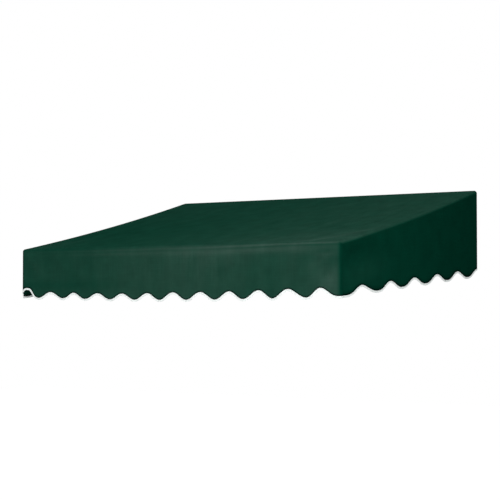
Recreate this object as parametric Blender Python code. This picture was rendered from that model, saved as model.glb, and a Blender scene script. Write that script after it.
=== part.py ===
"""Door canopy: a tube frame on wall brackets, under a sewn cloth cover with a scalloped, bound lower edge.

X runs across the width, -Y points away from the wall and +Z is up. The origin lies on the wall plane, in the
middle of the width, at the height of the header rail's axis. All sizes are in metres.
"""
import math

import bmesh
import bpy
from mathutils import Vector

# Overall sizes of the cover
COVER_WIDTH = 1.830
COVER_PROJECTION = 1.370
BACK_HEIGHT = 0.436
FRONT_HEIGHT = 0.245
SIDE_RISE = 0.108
FRONT_SAG = 0.016
ROOF_BOW = 0.013

# Scalloped edge and its binding tape: a broad scallop goes round each front corner, and even ones follow it
SCALLOP_DEPTH = 0.035
FRONT_PITCH = 0.153
FRONT_CORNER_REACH = 0.115
SIDE_CORNER_REACH = 0.210
SIDE_SCALLOPS = 5
BAND_WIDTH = 0.009
TAPE_THICKNESS = 0.0006

# Cloth and tubes
CLOTH_THICKNESS = 0.001
TUBE_DIAMETER = 0.0254
TUBE_WALL = 0.0016
LOW_BAR_CLEARANCE = 0.012
HEM_CLEARANCE = 0.0012
GAP = 0.0003

# Cast fittings that plug into the tubes
HUB_LENGTH = 0.019
HUB_STEP = 0.0002
HUB_CORE_INSET = 0.0005
HUB_ROOT_DEPTH = 0.003
HUB_ROOT_RADIUS = 0.009
SPIGOT_LENGTH = 0.032
SPIGOT_CHAMFER = 0.0015

# Wall brackets
BRACKET_THICKNESS = 0.003
BRACKET_WIDTH = 0.038
BRACKET_TOP = 0.010
BRACKET_DROP = 0.085
BRACKET_SPACING = 1.200
CENTRE_PLATE_WIDTH = 0.120
CENTRE_HOOK_WIDTH = 0.024
WALL_HOLE_DIAMETER = 0.007
WALL_HOLE_DEPTHS = (0.040, 0.070)

# Clips that hold the rear posts to the wall
CLIP_PLATE_LENGTH = 0.058
CLIP_HEIGHT = 0.036
CLIP_RISE = 0.030
CLIP_CLEARANCE = 0.0006

# Keeper straps that hold the cover to the lower bars
STRAP_WIDTH = 0.025
STRAP_THICKNESS = 0.0015
STRAP_TAB = 0.015
FRONT_STRAP_SCALLOPS = (1, 4, 7, 10)
SIDE_STRAP_SCALLOPS = (2, 4)

# Screws that lock the rafters and the lower side bars to their fittings
SCREW_HEAD_DIAMETER = 0.008
SCREW_HEAD_HEIGHT = 0.0026
SCREW_SHANK_DIAMETER = 0.004
SCREW_SHANK_LENGTH = 0.008
SCREW_HOLE_CLEARANCE = 0.0003

# How finely round shapes and the scallops are divided
TUBE_SIDES = 12
HOLE_SIDES = 10
ROLL_STEPS = 4
FOLD_STEPS = 5
RAFTER_STEPS = 6
SCALLOP_STEPS = 8
ROOF_COLUMN_STEPS = 16
BEND_STEPS = 8
CORE_STEPS = 7
MIN_STATION_GAP = 0.003
SAME_PLACE = 1e-6
SMOOTH_ANGLE = math.radians(40.0)

# Places that follow from the sizes
TUBE_R = TUBE_DIAMETER / 2
LINING_R = TUBE_R + GAP
COVER_R = LINING_R + CLOTH_THICKNESS
POST_X = COVER_WIDTH / 2 - COVER_R
FRONT_Y = COVER_R - COVER_PROJECTION
REAR_Y = -(BRACKET_THICKNESS + GAP + COVER_R)
TIP_Z = COVER_R - BACK_HEIGHT - SIDE_RISE
FRONT_Z = TIP_Z + FRONT_HEIGHT - COVER_R
SIDE_SLOPE = SIDE_RISE / COVER_PROJECTION
LOW_BAR_LIFT = SCALLOP_DEPTH + LOW_BAR_CLEARANCE + TUBE_R
ROLL_LENGTH = COVER_R * math.pi / 2
CORNER_VALLEY = POST_X + ROLL_LENGTH / 2
UNDER_WRAP_X = POST_X - TUBE_R - HEM_CLEARANCE
SIDE_START = FRONT_Y + GAP
SIDE_PITCH = (COVER_PROJECTION - SIDE_CORNER_REACH) / SIDE_SCALLOPS
CLOTH_EDGE = TAPE_THICKNESS + GAP

# Directions that the frame's tubes leave a joint in
LEFT = Vector((-1.0, 0.0, 0.0))
RIGHT = Vector((1.0, 0.0, 0.0))
BACK = Vector((0.0, 1.0, 0.0))
FORWARD = Vector((0.0, -1.0, 0.0))
UP = Vector((0.0, 0.0, 1.0))
DOWN = Vector((0.0, 0.0, -1.0))

CORE_AXIS = Vector((0.36, 0.48, 0.80))

SIDES = (("left", -1.0), ("right", 1.0))

FINISHES = {
    "awning_cloth": ((0.009, 0.040, 0.028), 0.85, 0.0),
    "binding_tape": ((0.80, 0.86, 0.83), 0.80, 0.0),
    "galvanised_tube": ((0.45, 0.47, 0.48), 0.42, 1.0),
    "cast_aluminium": ((0.52, 0.53, 0.54), 0.50, 1.0),
    "zinc_plate": ((0.55, 0.56, 0.58), 0.35, 1.0),
    "black_webbing": ((0.012, 0.012, 0.013), 0.90, 0.0),
    "bright_screw": ((0.60, 0.60, 0.58), 0.30, 1.0),
}


def clear_scene():
    """Remove whatever the open file holds."""
    for item in list(bpy.data.objects):
        bpy.data.objects.remove(item, do_unlink=True)


def finish_material(finish):
    """The Principled material of a finish, made on first use."""
    found = bpy.data.materials.get(finish)
    if found:
        return found
    colour, roughness, metallic = FINISHES[finish]
    material = bpy.data.materials.new(finish)
    material.use_nodes = True
    shader = material.node_tree.nodes["Principled BSDF"]
    shader.inputs["Base Color"].default_value = (*colour, 1.0)
    shader.inputs["Roughness"].default_value = roughness
    shader.inputs["Metallic"].default_value = metallic
    return material


def add_object(name, bm, finish):
    """Turn a bmesh into a named object with its finish, smooth where it is round."""
    bmesh.ops.recalc_face_normals(bm, faces=bm.faces)
    mesh = bpy.data.meshes.new(name)
    bm.to_mesh(mesh)
    bm.free()
    mesh.shade_smooth()
    mesh.set_sharp_from_angle(angle=SMOOTH_ANGLE)
    item = bpy.data.objects.new(name, mesh)
    item.data.materials.append(finish_material(finish))
    bpy.context.scene.collection.objects.link(item)
    return item


def hide_helper(helper):
    """Mark an object that only shapes others."""
    helper.hide_render = True
    helper.display_type = "WIRE"


def add_boolean(item, helper, operation):
    """Unite or cut an object with a helper."""
    modifier = item.modifiers.new(helper.name, "BOOLEAN")
    modifier.operation = operation
    modifier.solver = "EXACT"
    modifier.object = helper
    hide_helper(helper)


def arc(centre, radius, start, end, steps):
    """Points of a circular arc in a plane, both ends included. Angles are in radians."""
    points = []
    for index in range(steps + 1):
        angle = start + (end - start) * index / steps
        points.append((centre[0] + radius * math.cos(angle), centre[1] + radius * math.sin(angle)))
    return points


def ring(centre, direction, radius, sides):
    """Points of a circle round an axis, one flat side square to X or to Y."""
    reference = BACK if abs(direction.x) > abs(direction.y) + abs(direction.z) else RIGHT
    across = (reference - direction * reference.dot(direction)).normalized()
    along = direction.cross(across)
    points = []
    for index in range(sides):
        angle = 2 * math.pi * (index + 0.5) / sides
        points.append(centre + across * (radius * math.cos(angle)) + along * (radius * math.sin(angle)))
    return points


def bridge(bm, first, second):
    """Quads between two closed rings of vertices."""
    count = len(first)
    for index in range(count):
        after = (index + 1) % count
        bm.faces.new((first[index], first[after], second[after], second[index]))


def turned(name, start, direction, profile, sides, finish):
    """A solid of revolution from (distance along, radius) pairs, closed by flat ends."""
    bm = bmesh.new()
    rings = []
    for distance, radius in profile:
        points = ring(start + direction * distance, direction, radius, sides)
        rings.append([bm.verts.new(point) for point in points])
    for first, second in zip(rings, rings[1:]):
        bridge(bm, first, second)
    bm.faces.new(rings[0])
    bm.faces.new(rings[-1])
    return add_object(name, bm, finish)


def hollow_tube(name, points, directions, finish):
    """A round tube with open ends along a row of points."""
    bm = bmesh.new()
    skins = []
    for radius in (TUBE_R, TUBE_R - TUBE_WALL):
        rings = []
        for point, direction in zip(points, directions):
            rings.append([bm.verts.new(place) for place in ring(point, direction, radius, TUBE_SIDES)])
        for first, second in zip(rings, rings[1:]):
            bridge(bm, first, second)
        skins.append(rings)
    outer, inner = skins
    bridge(bm, outer[0], inner[0])
    bridge(bm, outer[-1], inner[-1])
    return add_object(name, bm, finish)


def straight_tube(name, start, end):
    """A tube between two joints of the frame, short of each by a fitting's hub."""
    direction = (end - start).normalized()
    margin = direction * (HUB_LENGTH + GAP)
    return hollow_tube(name, (start + margin, end - margin), (direction, direction), "galvanised_tube")


def prism(name, outline, place, near, far, finish):
    """A flat outline carried from one depth to another by a placing function."""
    bm = bmesh.new()
    first = [bm.verts.new(place(a, b, near)) for a, b in outline]
    second = [bm.verts.new(place(a, b, far)) for a, b in outline]
    bridge(bm, first, second)
    bm.faces.new(first)
    bm.faces.new(second)
    return add_object(name, bm, finish)


def rafter_point(t):
    """The rafters' axis as (y, z): t is 0 at the header rail and 1 at the front bar."""
    chord = Vector((FRONT_Y - REAR_Y, FRONT_Z))
    below = Vector((-chord.y, chord.x)).normalized()
    return Vector((REAR_Y, 0.0)) + chord * t + below * (4 * ROOF_BOW * t * (1 - t))


def rafter_slope(t):
    """Unit direction (y, z) of the rafters' axis towards the front."""
    chord = Vector((FRONT_Y - REAR_Y, FRONT_Z))
    below = Vector((-chord.y, chord.x)).normalized()
    return (chord + below * (4 * ROOF_BOW * (1 - 2 * t))).normalized()


def roof_angle(t):
    """Angle of the roof's upward normal in the (y, z) plane."""
    slope = rafter_slope(t)
    return math.atan2(-slope.x, slope.y)


def scallop(distance, reach, pitch):
    """Height over the tips and its slope at a distance from a corner, whose own scallop is broader."""
    if distance < reach:
        pace = math.pi / reach
        phase = pace * distance
    else:
        pace = 2 * math.pi / pitch
        phase = math.pi + pace * (distance - reach)
    return SCALLOP_DEPTH * (1 - math.cos(phase)) / 2, SCALLOP_DEPTH * pace * math.sin(phase) / 2


def tip_distance(number, reach, pitch):
    """Distance from a corner to the tip of a scallop, counted from the broad corner scallop."""
    return reach + (number - 0.5) * pitch


def front_edge(u):
    """Height and slope of the front's scalloped edge, which sags in the middle, where u is 0."""
    height, slope = scallop(CORNER_VALLEY - u, FRONT_CORNER_REACH, FRONT_PITCH)
    share = u / CORNER_VALLEY
    tips = TIP_Z - FRONT_SAG * (1 - share * share)
    sag_slope = 2 * FRONT_SAG * share / CORNER_VALLEY
    return tips + height, sag_slope - slope


def tip_height(y):
    """Height of the sides' scallop tips, which rise from the front towards the wall."""
    return TIP_Z + SIDE_SLOPE * (y + COVER_PROJECTION)


def low_bar_height(y):
    """Height of the lower bars' axis, above the scallops that hide them."""
    return tip_height(y) + LOW_BAR_LIFT


def side_edge(v):
    """Height and slope of a side's scalloped edge; v runs like y, and round the rear post."""
    height, slope = scallop(v + COVER_PROJECTION, SIDE_CORNER_REACH, SIDE_PITCH)
    return tip_height(v) + height, SIDE_SLOPE + slope


def cloth_edge_height(edge, distance):
    """Where the cloth itself ends, inside the folded tape."""
    height, slope = edge(distance)
    return height + CLOTH_EDGE * math.hypot(1.0, slope)


def front_place(u, z, radius):
    """Point of the front, rolled round the corner posts at its two ends."""
    side = math.copysign(1.0, u)
    turn = max(0.0, abs(u) - POST_X) / COVER_R
    x = side * (min(abs(u), POST_X) + radius * math.sin(turn))
    return Vector((x, FRONT_Y - radius * math.cos(turn), z))


def side_place(side):
    """Placing function of a side panel, rolled round the rear post at its wall end."""
    def place(v, z, radius):
        turn = max(0.0, v - REAR_Y) / COVER_R
        x = side * (POST_X + radius * math.cos(turn))
        return Vector((x, min(v, REAR_Y) + radius * math.sin(turn), z))
    return place


def scallop_steps(length, reach, pitch):
    """Distances from a corner in even steps: through its broad scallop, then through the others."""
    half = SCALLOP_STEPS // 2
    step = pitch / SCALLOP_STEPS
    broad = [reach * index / half for index in range(half)]
    count = math.floor((length - reach) / step) + 1
    return broad + [reach + step * index for index in range(count)]


def stations(anchors, even):
    """Places along a scalloped edge: those that must be met, and the even ones that are clear of them."""
    inside = [place for place in even if min(anchors) < place < max(anchors)]
    clear = [place for place in inside if min(abs(place - anchor) for anchor in anchors) > MIN_STATION_GAP]
    return sorted(list(anchors) + clear)


def roll_stations(start, direction):
    """Distances along cloth that rolls round a post, after the start of the roll."""
    return [start + direction * ROLL_LENGTH * index / ROLL_STEPS for index in range(1, ROLL_STEPS + 1)]


def front_stations():
    """Distances along the front's edge from the left end to the right end."""
    steps = scallop_steps(2 * CORNER_VALLEY, FRONT_CORNER_REACH, FRONT_PITCH)
    flat = stations((-POST_X, -UNDER_WRAP_X, UNDER_WRAP_X, POST_X), [CORNER_VALLEY - step for step in steps])
    left = sorted(roll_stations(-POST_X, -1.0))
    return left + flat + roll_stations(POST_X, 1.0)


def side_stations():
    """Distances along a side's edge from the front corner to the wall."""
    steps = scallop_steps(COVER_PROJECTION, SIDE_CORNER_REACH, SIDE_PITCH)
    flat = stations((SIDE_START, REAR_Y), [step - COVER_PROJECTION for step in steps])
    return flat + roll_stations(REAR_Y, 1.0)


def add_shell(name, cells, place, finish):
    """A sheet of cloth of even thickness from its cells, each a list of vertex keys."""
    bm = bmesh.new()
    keys = {key for cell in cells for key in cell}
    outer = {key: bm.verts.new(place(key, COVER_R)) for key in keys}
    inner = {key: bm.verts.new(place(key, LINING_R)) for key in keys}
    uses = {}
    for cell in cells:
        for first, second in zip(cell, cell[1:] + cell[:1]):
            uses.setdefault(frozenset((first, second)), []).append((first, second))
        bm.faces.new([outer[key] for key in cell])
        bm.faces.new([inner[key] for key in reversed(cell)])
    for pairs in uses.values():
        if len(pairs) == 1:
            first, second = pairs[0]
            bm.faces.new((outer[second], outer[first], inner[first], inner[second]))
    return add_object(name, bm, finish)


def cover_rows():
    """Rows of the roof from the front fold to under the header rail: (y, z) centre and normal angle."""
    front = rafter_point(1.0)
    rear = rafter_point(0.0)
    rows = []
    for index in range(FOLD_STEPS):
        rows.append(("fold", front, math.pi + (roof_angle(1.0) - math.pi) * index / FOLD_STEPS))
    for index in range(RAFTER_STEPS):
        t = 1 - index / RAFTER_STEPS
        rows.append(("roof", rafter_point(t), roof_angle(t)))
    for index in range(FOLD_STEPS + 1):
        rows.append(("head", rear, roof_angle(0.0) * (1 - index / FOLD_STEPS)))
    for index in range(1, FOLD_STEPS + 1):
        rows.append(("under", rear, -math.pi / 2 * index / FOLD_STEPS))
    return rows


def cover_columns():
    """Columns of the roof from left to right: (flat x, turn of the roll over the rafter)."""
    turns = [math.pi / 2 * index / ROLL_STEPS for index in range(1, ROLL_STEPS + 1)]
    middle = [u for u in front_stations() if abs(u) < UNDER_WRAP_X - MIN_STATION_GAP]
    valleys = middle[SCALLOP_STEPS::ROOF_COLUMN_STEPS]
    flat = [-POST_X, -UNDER_WRAP_X] + valleys + [UNDER_WRAP_X, POST_X]
    left = [(-POST_X, -turn) for turn in reversed(turns)]
    return left + [(x, 0.0) for x in flat] + [(POST_X, turn) for turn in turns]


def column_distance(column):
    """Distance along the front's edge at which a column comes down."""
    x, turn = column
    return x + turn * COVER_R


def make_roof_and_front():
    """The cover's main panel: the front, the fold over the front bar, the roof and the wrapped back hem."""
    rows = cover_rows()
    columns = cover_columns()
    edge_stations = front_stations()

    def key(column, row):
        x, turn = columns[column]
        at_pole = abs(turn) > math.pi / 2 - SAME_PLACE
        kind = rows[row][0]
        if at_pole and (kind == "fold" or rows[row][1] == rafter_point(1.0)):
            return ("grid", column, FOLD_STEPS)
        if at_pole and kind == "head":
            return ("grid", column, FOLD_STEPS + RAFTER_STEPS)
        return ("grid", column, row)

    def place(name, radius):
        if name[0] == "edge":
            return front_place(name[1], cloth_edge_height(front_edge, name[1]), radius)
        x, turn = columns[name[1]]
        _, centre, angle = rows[name[2]]
        lift = radius * math.cos(turn)
        return Vector((x + radius * math.sin(turn),
                       centre.x + lift * math.cos(angle),
                       centre.y + lift * math.sin(angle)))

    cells = []
    for column in range(len(columns) - 1):
        start = column_distance(columns[column])
        end = column_distance(columns[column + 1])
        below = [u for u in edge_stations if start - SAME_PLACE < u < end + SAME_PLACE]
        cells.append([("edge", u) for u in below] + [key(column + 1, 0), key(column, 0)])
        wrapped = max(abs(columns[column][0]), abs(columns[column + 1][0])) < UNDER_WRAP_X + GAP
        for row in range(len(rows) - 1):
            if rows[row + 1][0] == "under" and not wrapped:
                continue
            corners = [key(column, row), key(column + 1, row), key(column + 1, row + 1), key(column, row + 1)]
            cell = [corner for index, corner in enumerate(corners) if corner != corners[index - 1]]
            if len(cell) > 2:
                cells.append(cell)
    add_shell("cover_roof_front", cells, place, "awning_cloth")


def make_side_panel(label, side):
    """A side panel: flat from the front post to the rear post, then rolled round the rear post."""
    panel_place = side_place(side)
    edge = side_stations()

    def place(name, radius):
        if name[0] == "edge":
            return panel_place(name[1], cloth_edge_height(side_edge, name[1]), radius)
        if name[0] == "head":
            return panel_place(name[1], -GAP, radius)
        y, z = rafter_point(name[1])
        return panel_place(max(y, SIDE_START), z - GAP, radius)

    flat = [v for v in edge if v < REAR_Y + SAME_PLACE]
    rolled = [flat[-1]] + [v for v in edge if v > REAR_Y + SAME_PLACE]
    top = [("rafter", index / RAFTER_STEPS) for index in range(1, RAFTER_STEPS + 1)]
    cells = [[("edge", v) for v in flat] + [("head", flat[-1])] + top]
    for first, second in zip(rolled, rolled[1:]):
        cells.append([("edge", first), ("edge", second), ("head", second), ("head", first)])
    add_shell("cover_side_" + label, cells, place, "awning_cloth")


def make_binding(name, edge, places, place):
    """White tape folded over a scalloped edge, as one long U-shaped strip."""
    outer_face = COVER_R + GAP + TAPE_THICKNESS
    inner_face = LINING_R - GAP - TAPE_THICKNESS
    section = (
        (outer_face, BAND_WIDTH),
        (outer_face, 0.0),
        (inner_face, 0.0),
        (inner_face, BAND_WIDTH),
        (inner_face + TAPE_THICKNESS, BAND_WIDTH),
        (inner_face + TAPE_THICKNESS, TAPE_THICKNESS),
        (outer_face - TAPE_THICKNESS, TAPE_THICKNESS),
        (outer_face - TAPE_THICKNESS, BAND_WIDTH),
    )
    bm = bmesh.new()
    rings = []
    for index, distance in enumerate(places):
        height, slope = edge(distance)
        stretch = math.hypot(1.0, slope)
        at_end = index in (0, len(places) - 1)
        shift = 0.0 if at_end else -slope / stretch
        rise = stretch if at_end else 1.0 / stretch
        verts = []
        for radius, offset in section:
            verts.append(bm.verts.new(place(distance + shift * offset, height + rise * offset, radius)))
        rings.append(verts)
    for first, second in zip(rings, rings[1:]):
        bridge(bm, first, second)
    bm.faces.new(rings[0])
    bm.faces.new(rings[-1])
    add_object(name, bm, "binding_tape")


def make_cover():
    """The three cloth panels and the three lengths of tape."""
    make_roof_and_front()
    make_binding("binding_front", front_edge, front_stations(), front_place)
    for label, side in SIDES:
        make_side_panel(label, side)
        make_binding("binding_" + label, side_edge, side_stations(), side_place(side))


def rafter_direction(t, sign):
    """Direction of a rafter at one of its ends, as a vector in space."""
    slope = rafter_slope(t)
    return Vector((0.0, slope.x * sign, slope.y * sign))


def side_bar_direction():
    """Direction of the lower side bars, from the front towards the wall."""
    return Vector((0.0, 1.0, SIDE_SLOPE)).normalized()


def make_fitting(name, centre, arms):
    """A cast fitting: a round core, and a hub with a plug-in spigot for each tube."""
    core_radius = TUBE_R - HUB_CORE_INSET
    core_profile = arc((0.0, 0.0), core_radius, math.pi, 0.0, CORE_STEPS)[1:-1]
    core = turned(name, centre, CORE_AXIS, core_profile, TUBE_SIDES, "cast_aluminium")
    spigot_radius = (TUBE_R - TUBE_WALL) * math.cos(math.pi / TUBE_SIDES) - GAP
    reach = HUB_LENGTH + SPIGOT_LENGTH
    for index, direction in enumerate(arms):
        hub_radius = TUBE_R - HUB_STEP * index
        profile = (
            (-HUB_ROOT_DEPTH, HUB_ROOT_RADIUS),
            (HUB_ROOT_DEPTH, hub_radius),
            (HUB_LENGTH, hub_radius),
            (HUB_LENGTH, spigot_radius),
            (reach - SPIGOT_CHAMFER, spigot_radius),
            (reach, spigot_radius - SPIGOT_CHAMFER),
        )
        arm = turned(name + "_arm_%d" % index, centre, direction, profile, TUBE_SIDES, "cast_aluminium")
        add_boolean(core, arm, "UNION")
    return core


def make_rafter(name, x):
    """A rafter: a tube with a slight downward bow, from the header rail to the front bar."""
    span = (rafter_point(1.0) - rafter_point(0.0)).length
    margin = (HUB_LENGTH + GAP) / span
    points = []
    directions = []
    for index in range(RAFTER_STEPS + 1):
        t = margin + (1 - 2 * margin) * index / RAFTER_STEPS
        y, z = rafter_point(t)
        points.append(Vector((x, y, z)))
        directions.append(rafter_direction(t, 1.0))
    return hollow_tube(name, points, directions, "galvanised_tube")


def make_screw(name, item, fitting, centre, direction, head_side):
    """A pan-head screw through a tube's wall into the spigot inside, with its hole in both."""
    seat = centre + direction * (HUB_LENGTH + SPIGOT_LENGTH / 2) + head_side * (TUBE_R + GAP)
    inward = -head_side
    head_radius = SCREW_HEAD_DIAMETER / 2
    shank_radius = SCREW_SHANK_DIAMETER / 2
    profile = (
        (-SCREW_HEAD_HEIGHT, head_radius / 2),
        (-SCREW_HEAD_HEIGHT / 2, head_radius),
        (0.0, head_radius),
        (0.0, shank_radius),
        (SCREW_SHANK_LENGTH, shank_radius),
    )
    turned(name, seat, inward, profile, HOLE_SIDES, "bright_screw")
    hole_radius = shank_radius + SCREW_HOLE_CLEARANCE
    depth = SCREW_SHANK_LENGTH + SCREW_HOLE_CLEARANCE
    hole_profile = ((-SCREW_HEAD_HEIGHT, hole_radius), (depth, hole_radius))
    hole = turned(name + "_hole", seat, inward, hole_profile, HOLE_SIDES, "bright_screw")
    add_boolean(item, hole, "DIFFERENCE")
    add_boolean(fitting, hole, "DIFFERENCE")


def make_frame():
    """All tubes, the fittings that join them and the screws that lock them."""
    header = {"left": -POST_X, "centre": 0.0, "right": POST_X}
    uphill = rafter_direction(1.0, -1.0)
    downhill = rafter_direction(0.0, 1.0)
    wallward = side_bar_direction()
    inwards = {"left": (RIGHT,), "centre": (LEFT, RIGHT), "right": (LEFT,)}
    for label, x in header.items():
        rear = Vector((x, REAR_Y, 0.0))
        front = Vector((x, FRONT_Y, FRONT_Z))
        front_low = Vector((x, FRONT_Y, low_bar_height(FRONT_Y)))
        rear_low = Vector((x, REAR_Y, low_bar_height(REAR_Y)))
        sides = inwards[label]
        at_end = label != "centre"
        rear_arms = sides + ((DOWN, downhill) if at_end else (downhill,))
        rear_fitting = make_fitting("fitting_header_" + label, rear, rear_arms)
        front_fitting = make_fitting("fitting_front_top_" + label, front, sides + (DOWN, uphill))
        low_arms = sides + ((UP, wallward) if at_end else (UP,))
        low_fitting = make_fitting("fitting_front_low_" + label, front_low, low_arms)
        rafter = make_rafter("rafter_" + label, x)
        straight_tube("front_post_" + label, front_low, front)
        below_rear = RIGHT.cross(downhill)
        below_front = uphill.cross(RIGHT)
        make_screw("screw_rafter_rear_" + label, rafter, rear_fitting, rear, downhill, below_rear)
        make_screw("screw_rafter_front_" + label, rafter, front_fitting, front, uphill, below_front)
        if at_end:
            rear_low_fitting = make_fitting("fitting_rear_low_" + label, rear_low, (UP, -wallward))
            straight_tube("rear_post_" + label, rear_low, rear)
            bar = straight_tube("lower_side_bar_" + label, front_low, rear_low)
            inner = sides[0]
            make_screw("screw_lower_front_" + label, bar, low_fitting, front_low, wallward, inner)
            make_screw("screw_lower_rear_" + label, bar, rear_low_fitting, rear_low, -wallward, inner)
    for label, side in SIDES:
        bars = (
            ("header_rail_", REAR_Y, 0.0),
            ("front_bar_", FRONT_Y, FRONT_Z),
            ("lower_front_bar_", FRONT_Y, low_bar_height(FRONT_Y)),
        )
        for prefix, y, z in bars:
            straight_tube(prefix + label, Vector((0.0, y, z)), Vector((side * POST_X, y, z)))


def place_yz(a, b, depth):
    """Outline drawn in the (y, z) plane, carried along X."""
    return Vector((depth, a, b))


def hook_outline():
    """Section of a wall bracket: a flat plate on the wall and a hook under the wrapped header rail."""
    inner = COVER_R + GAP
    outer = inner + BRACKET_THICKNESS
    meet = math.acos(inner / outer)
    outline = [(0.0, BRACKET_TOP), (0.0, -BRACKET_DROP), (-BRACKET_THICKNESS, -BRACKET_DROP)]
    outline += arc((REAR_Y, 0.0), outer, -meet, -math.pi, BEND_STEPS)
    outline += arc((REAR_Y, 0.0), inner, -math.pi, 0.0, BEND_STEPS)
    outline.append((-BRACKET_THICKNESS, BRACKET_TOP))
    return outline


def drill_wall_hole(bracket, name, x, z):
    """A screw hole through a plate that lies on the wall; the drill overruns the plate on both sides."""
    overrun = BRACKET_THICKNESS
    radius = WALL_HOLE_DIAMETER / 2
    profile = ((-overrun, radius), (BRACKET_THICKNESS + overrun, radius))
    hole = turned(name, Vector((x, 0.0, z)), FORWARD, profile, HOLE_SIDES, "zinc_plate")
    add_boolean(bracket, hole, "DIFFERENCE")


def make_wall_brackets():
    """Two single-hook brackets, and a wide one whose hooks stand either side of the centre rafter."""
    outline = hook_outline()
    for label, side in SIDES:
        name = "wall_bracket_" + label
        middle = side * BRACKET_SPACING / 2
        near = middle - BRACKET_WIDTH / 2
        bracket = prism(name, outline, place_yz, near, near + BRACKET_WIDTH, "zinc_plate")
        for index, depth in enumerate(WALL_HOLE_DEPTHS):
            drill_wall_hole(bracket, name + "_hole_%d" % index, middle, -depth)
    half = CENTRE_PLATE_WIDTH / 2
    centre = prism("wall_bracket_centre", outline, place_yz, -half, half, "zinc_plate")
    clear = half - CENTRE_HOOK_WIDTH
    plate_face = -BRACKET_THICKNESS
    hook_front = REAR_Y - COVER_R - GAP - BRACKET_THICKNESS
    beyond = hook_front - BRACKET_THICKNESS
    notch_outline = (
        (plate_face, BRACKET_TOP),
        (beyond, BRACKET_TOP),
        (beyond, -BRACKET_DROP),
        (plate_face, -BRACKET_DROP),
    )
    notch = prism("wall_bracket_centre_notch", notch_outline, place_yz, -clear, clear, "zinc_plate")
    add_boolean(centre, notch, "DIFFERENCE")
    for index, depth in enumerate(WALL_HOLE_DEPTHS):
        for label, side in SIDES:
            x = side * (half - CENTRE_HOOK_WIDTH / 2)
            drill_wall_hole(centre, "wall_bracket_centre_hole_%s_%d" % (label, index), x, -depth)


def make_post_clips():
    """Clips on the wall that hold the rear posts from their inner side."""
    inner = TUBE_R + GAP
    outer = inner + BRACKET_THICKNESS
    meet = math.asin((COVER_R + GAP) / outer)
    bottom = low_bar_height(REAR_Y) + CLIP_RISE
    for label, side in SIDES:
        outline = [(CLIP_CLEARANCE, 0.0), (CLIP_PLATE_LENGTH, 0.0), (CLIP_PLATE_LENGTH, -BRACKET_THICKNESS)]
        outline += arc((0.0, REAR_Y), outer, meet, -math.pi / 2, TUBE_SIDES // 2)
        outline += arc((0.0, REAR_Y), inner, -math.pi / 2, math.pi / 2, BEND_STEPS)[:-1]
        outline.append((CLIP_CLEARANCE, REAR_Y + inner))

        def place(a, b, depth, side=side):
            return Vector((side * (POST_X - a), b, depth))

        name = "post_clip_" + label
        clip = prism(name, outline, place, bottom, bottom + CLIP_HEIGHT, "zinc_plate")
        reach = (outer + CLIP_PLATE_LENGTH) / 2
        drill_wall_hole(clip, name + "_hole", side * (POST_X - reach), bottom + CLIP_HEIGHT / 2)


def strap_outline():
    """Section of a keeper strap: two tabs on the cloth and a loop behind the bar."""
    inner = TUBE_R + GAP
    outer = inner + STRAP_THICKNESS
    back = -TUBE_R
    front = back + STRAP_THICKNESS
    top = outer + STRAP_TAB
    outline = [(back, top), (back, inner)]
    outline += arc((0.0, 0.0), inner, math.pi / 2, -math.pi / 2, BEND_STEPS)
    outline += [(back, -inner), (back, -top), (front, -top), (front, -outer)]
    outline += arc((0.0, 0.0), outer, -math.pi / 2, math.pi / 2, BEND_STEPS)
    outline += [(front, outer), (front, top)]
    return outline


def make_keeper_straps():
    """Straps at the scallops' tips, along the lower front bars and the lower side bars."""
    outline = strap_outline()
    half = STRAP_WIDTH / 2
    front_height = low_bar_height(FRONT_Y)
    along = side_bar_direction()
    upright = RIGHT.cross(along)

    def front_strap(a, b, depth):
        return Vector((depth, FRONT_Y + a, front_height + b))

    for number, scallop in enumerate(FRONT_STRAP_SCALLOPS, start=1):
        x = CORNER_VALLEY - tip_distance(scallop, FRONT_CORNER_REACH, FRONT_PITCH)
        prism("keeper_strap_front_%d" % number, outline, front_strap, x - half, x + half, "black_webbing")
    for label, side in SIDES:
        for number, scallop in enumerate(SIDE_STRAP_SCALLOPS, start=1):
            y = tip_distance(scallop, SIDE_CORNER_REACH, SIDE_PITCH) - COVER_PROJECTION
            middle = Vector((side * POST_X, y, low_bar_height(y)))

            def side_strap(a, b, depth, middle=middle, inward=-side):
                return middle + RIGHT * (inward * a) + along * depth + upright * b

            name = "keeper_strap_%s_%d" % (label, number)
            prism(name, outline, side_strap, -half, half, "black_webbing")


def main():
    clear_scene()
    make_cover()
    make_frame()
    make_wall_brackets()
    make_post_clips()
    make_keeper_straps()


main()
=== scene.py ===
"""Door canopy: the looks of its sewn cover, bound scallops, tube frame, castings, brackets and keeper straps.

It runs as a script. The canopy's solids are loaded as a fixed frame, and every piece is modelled around them,
in metres, with -Y away from the wall and +Z up.
"""
import math
from functools import partial

import bmesh
import bpy
import numpy as np
from bpy.props import FloatProperty, FloatVectorProperty, PointerProperty
from mathutils import Matrix, Vector


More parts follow.
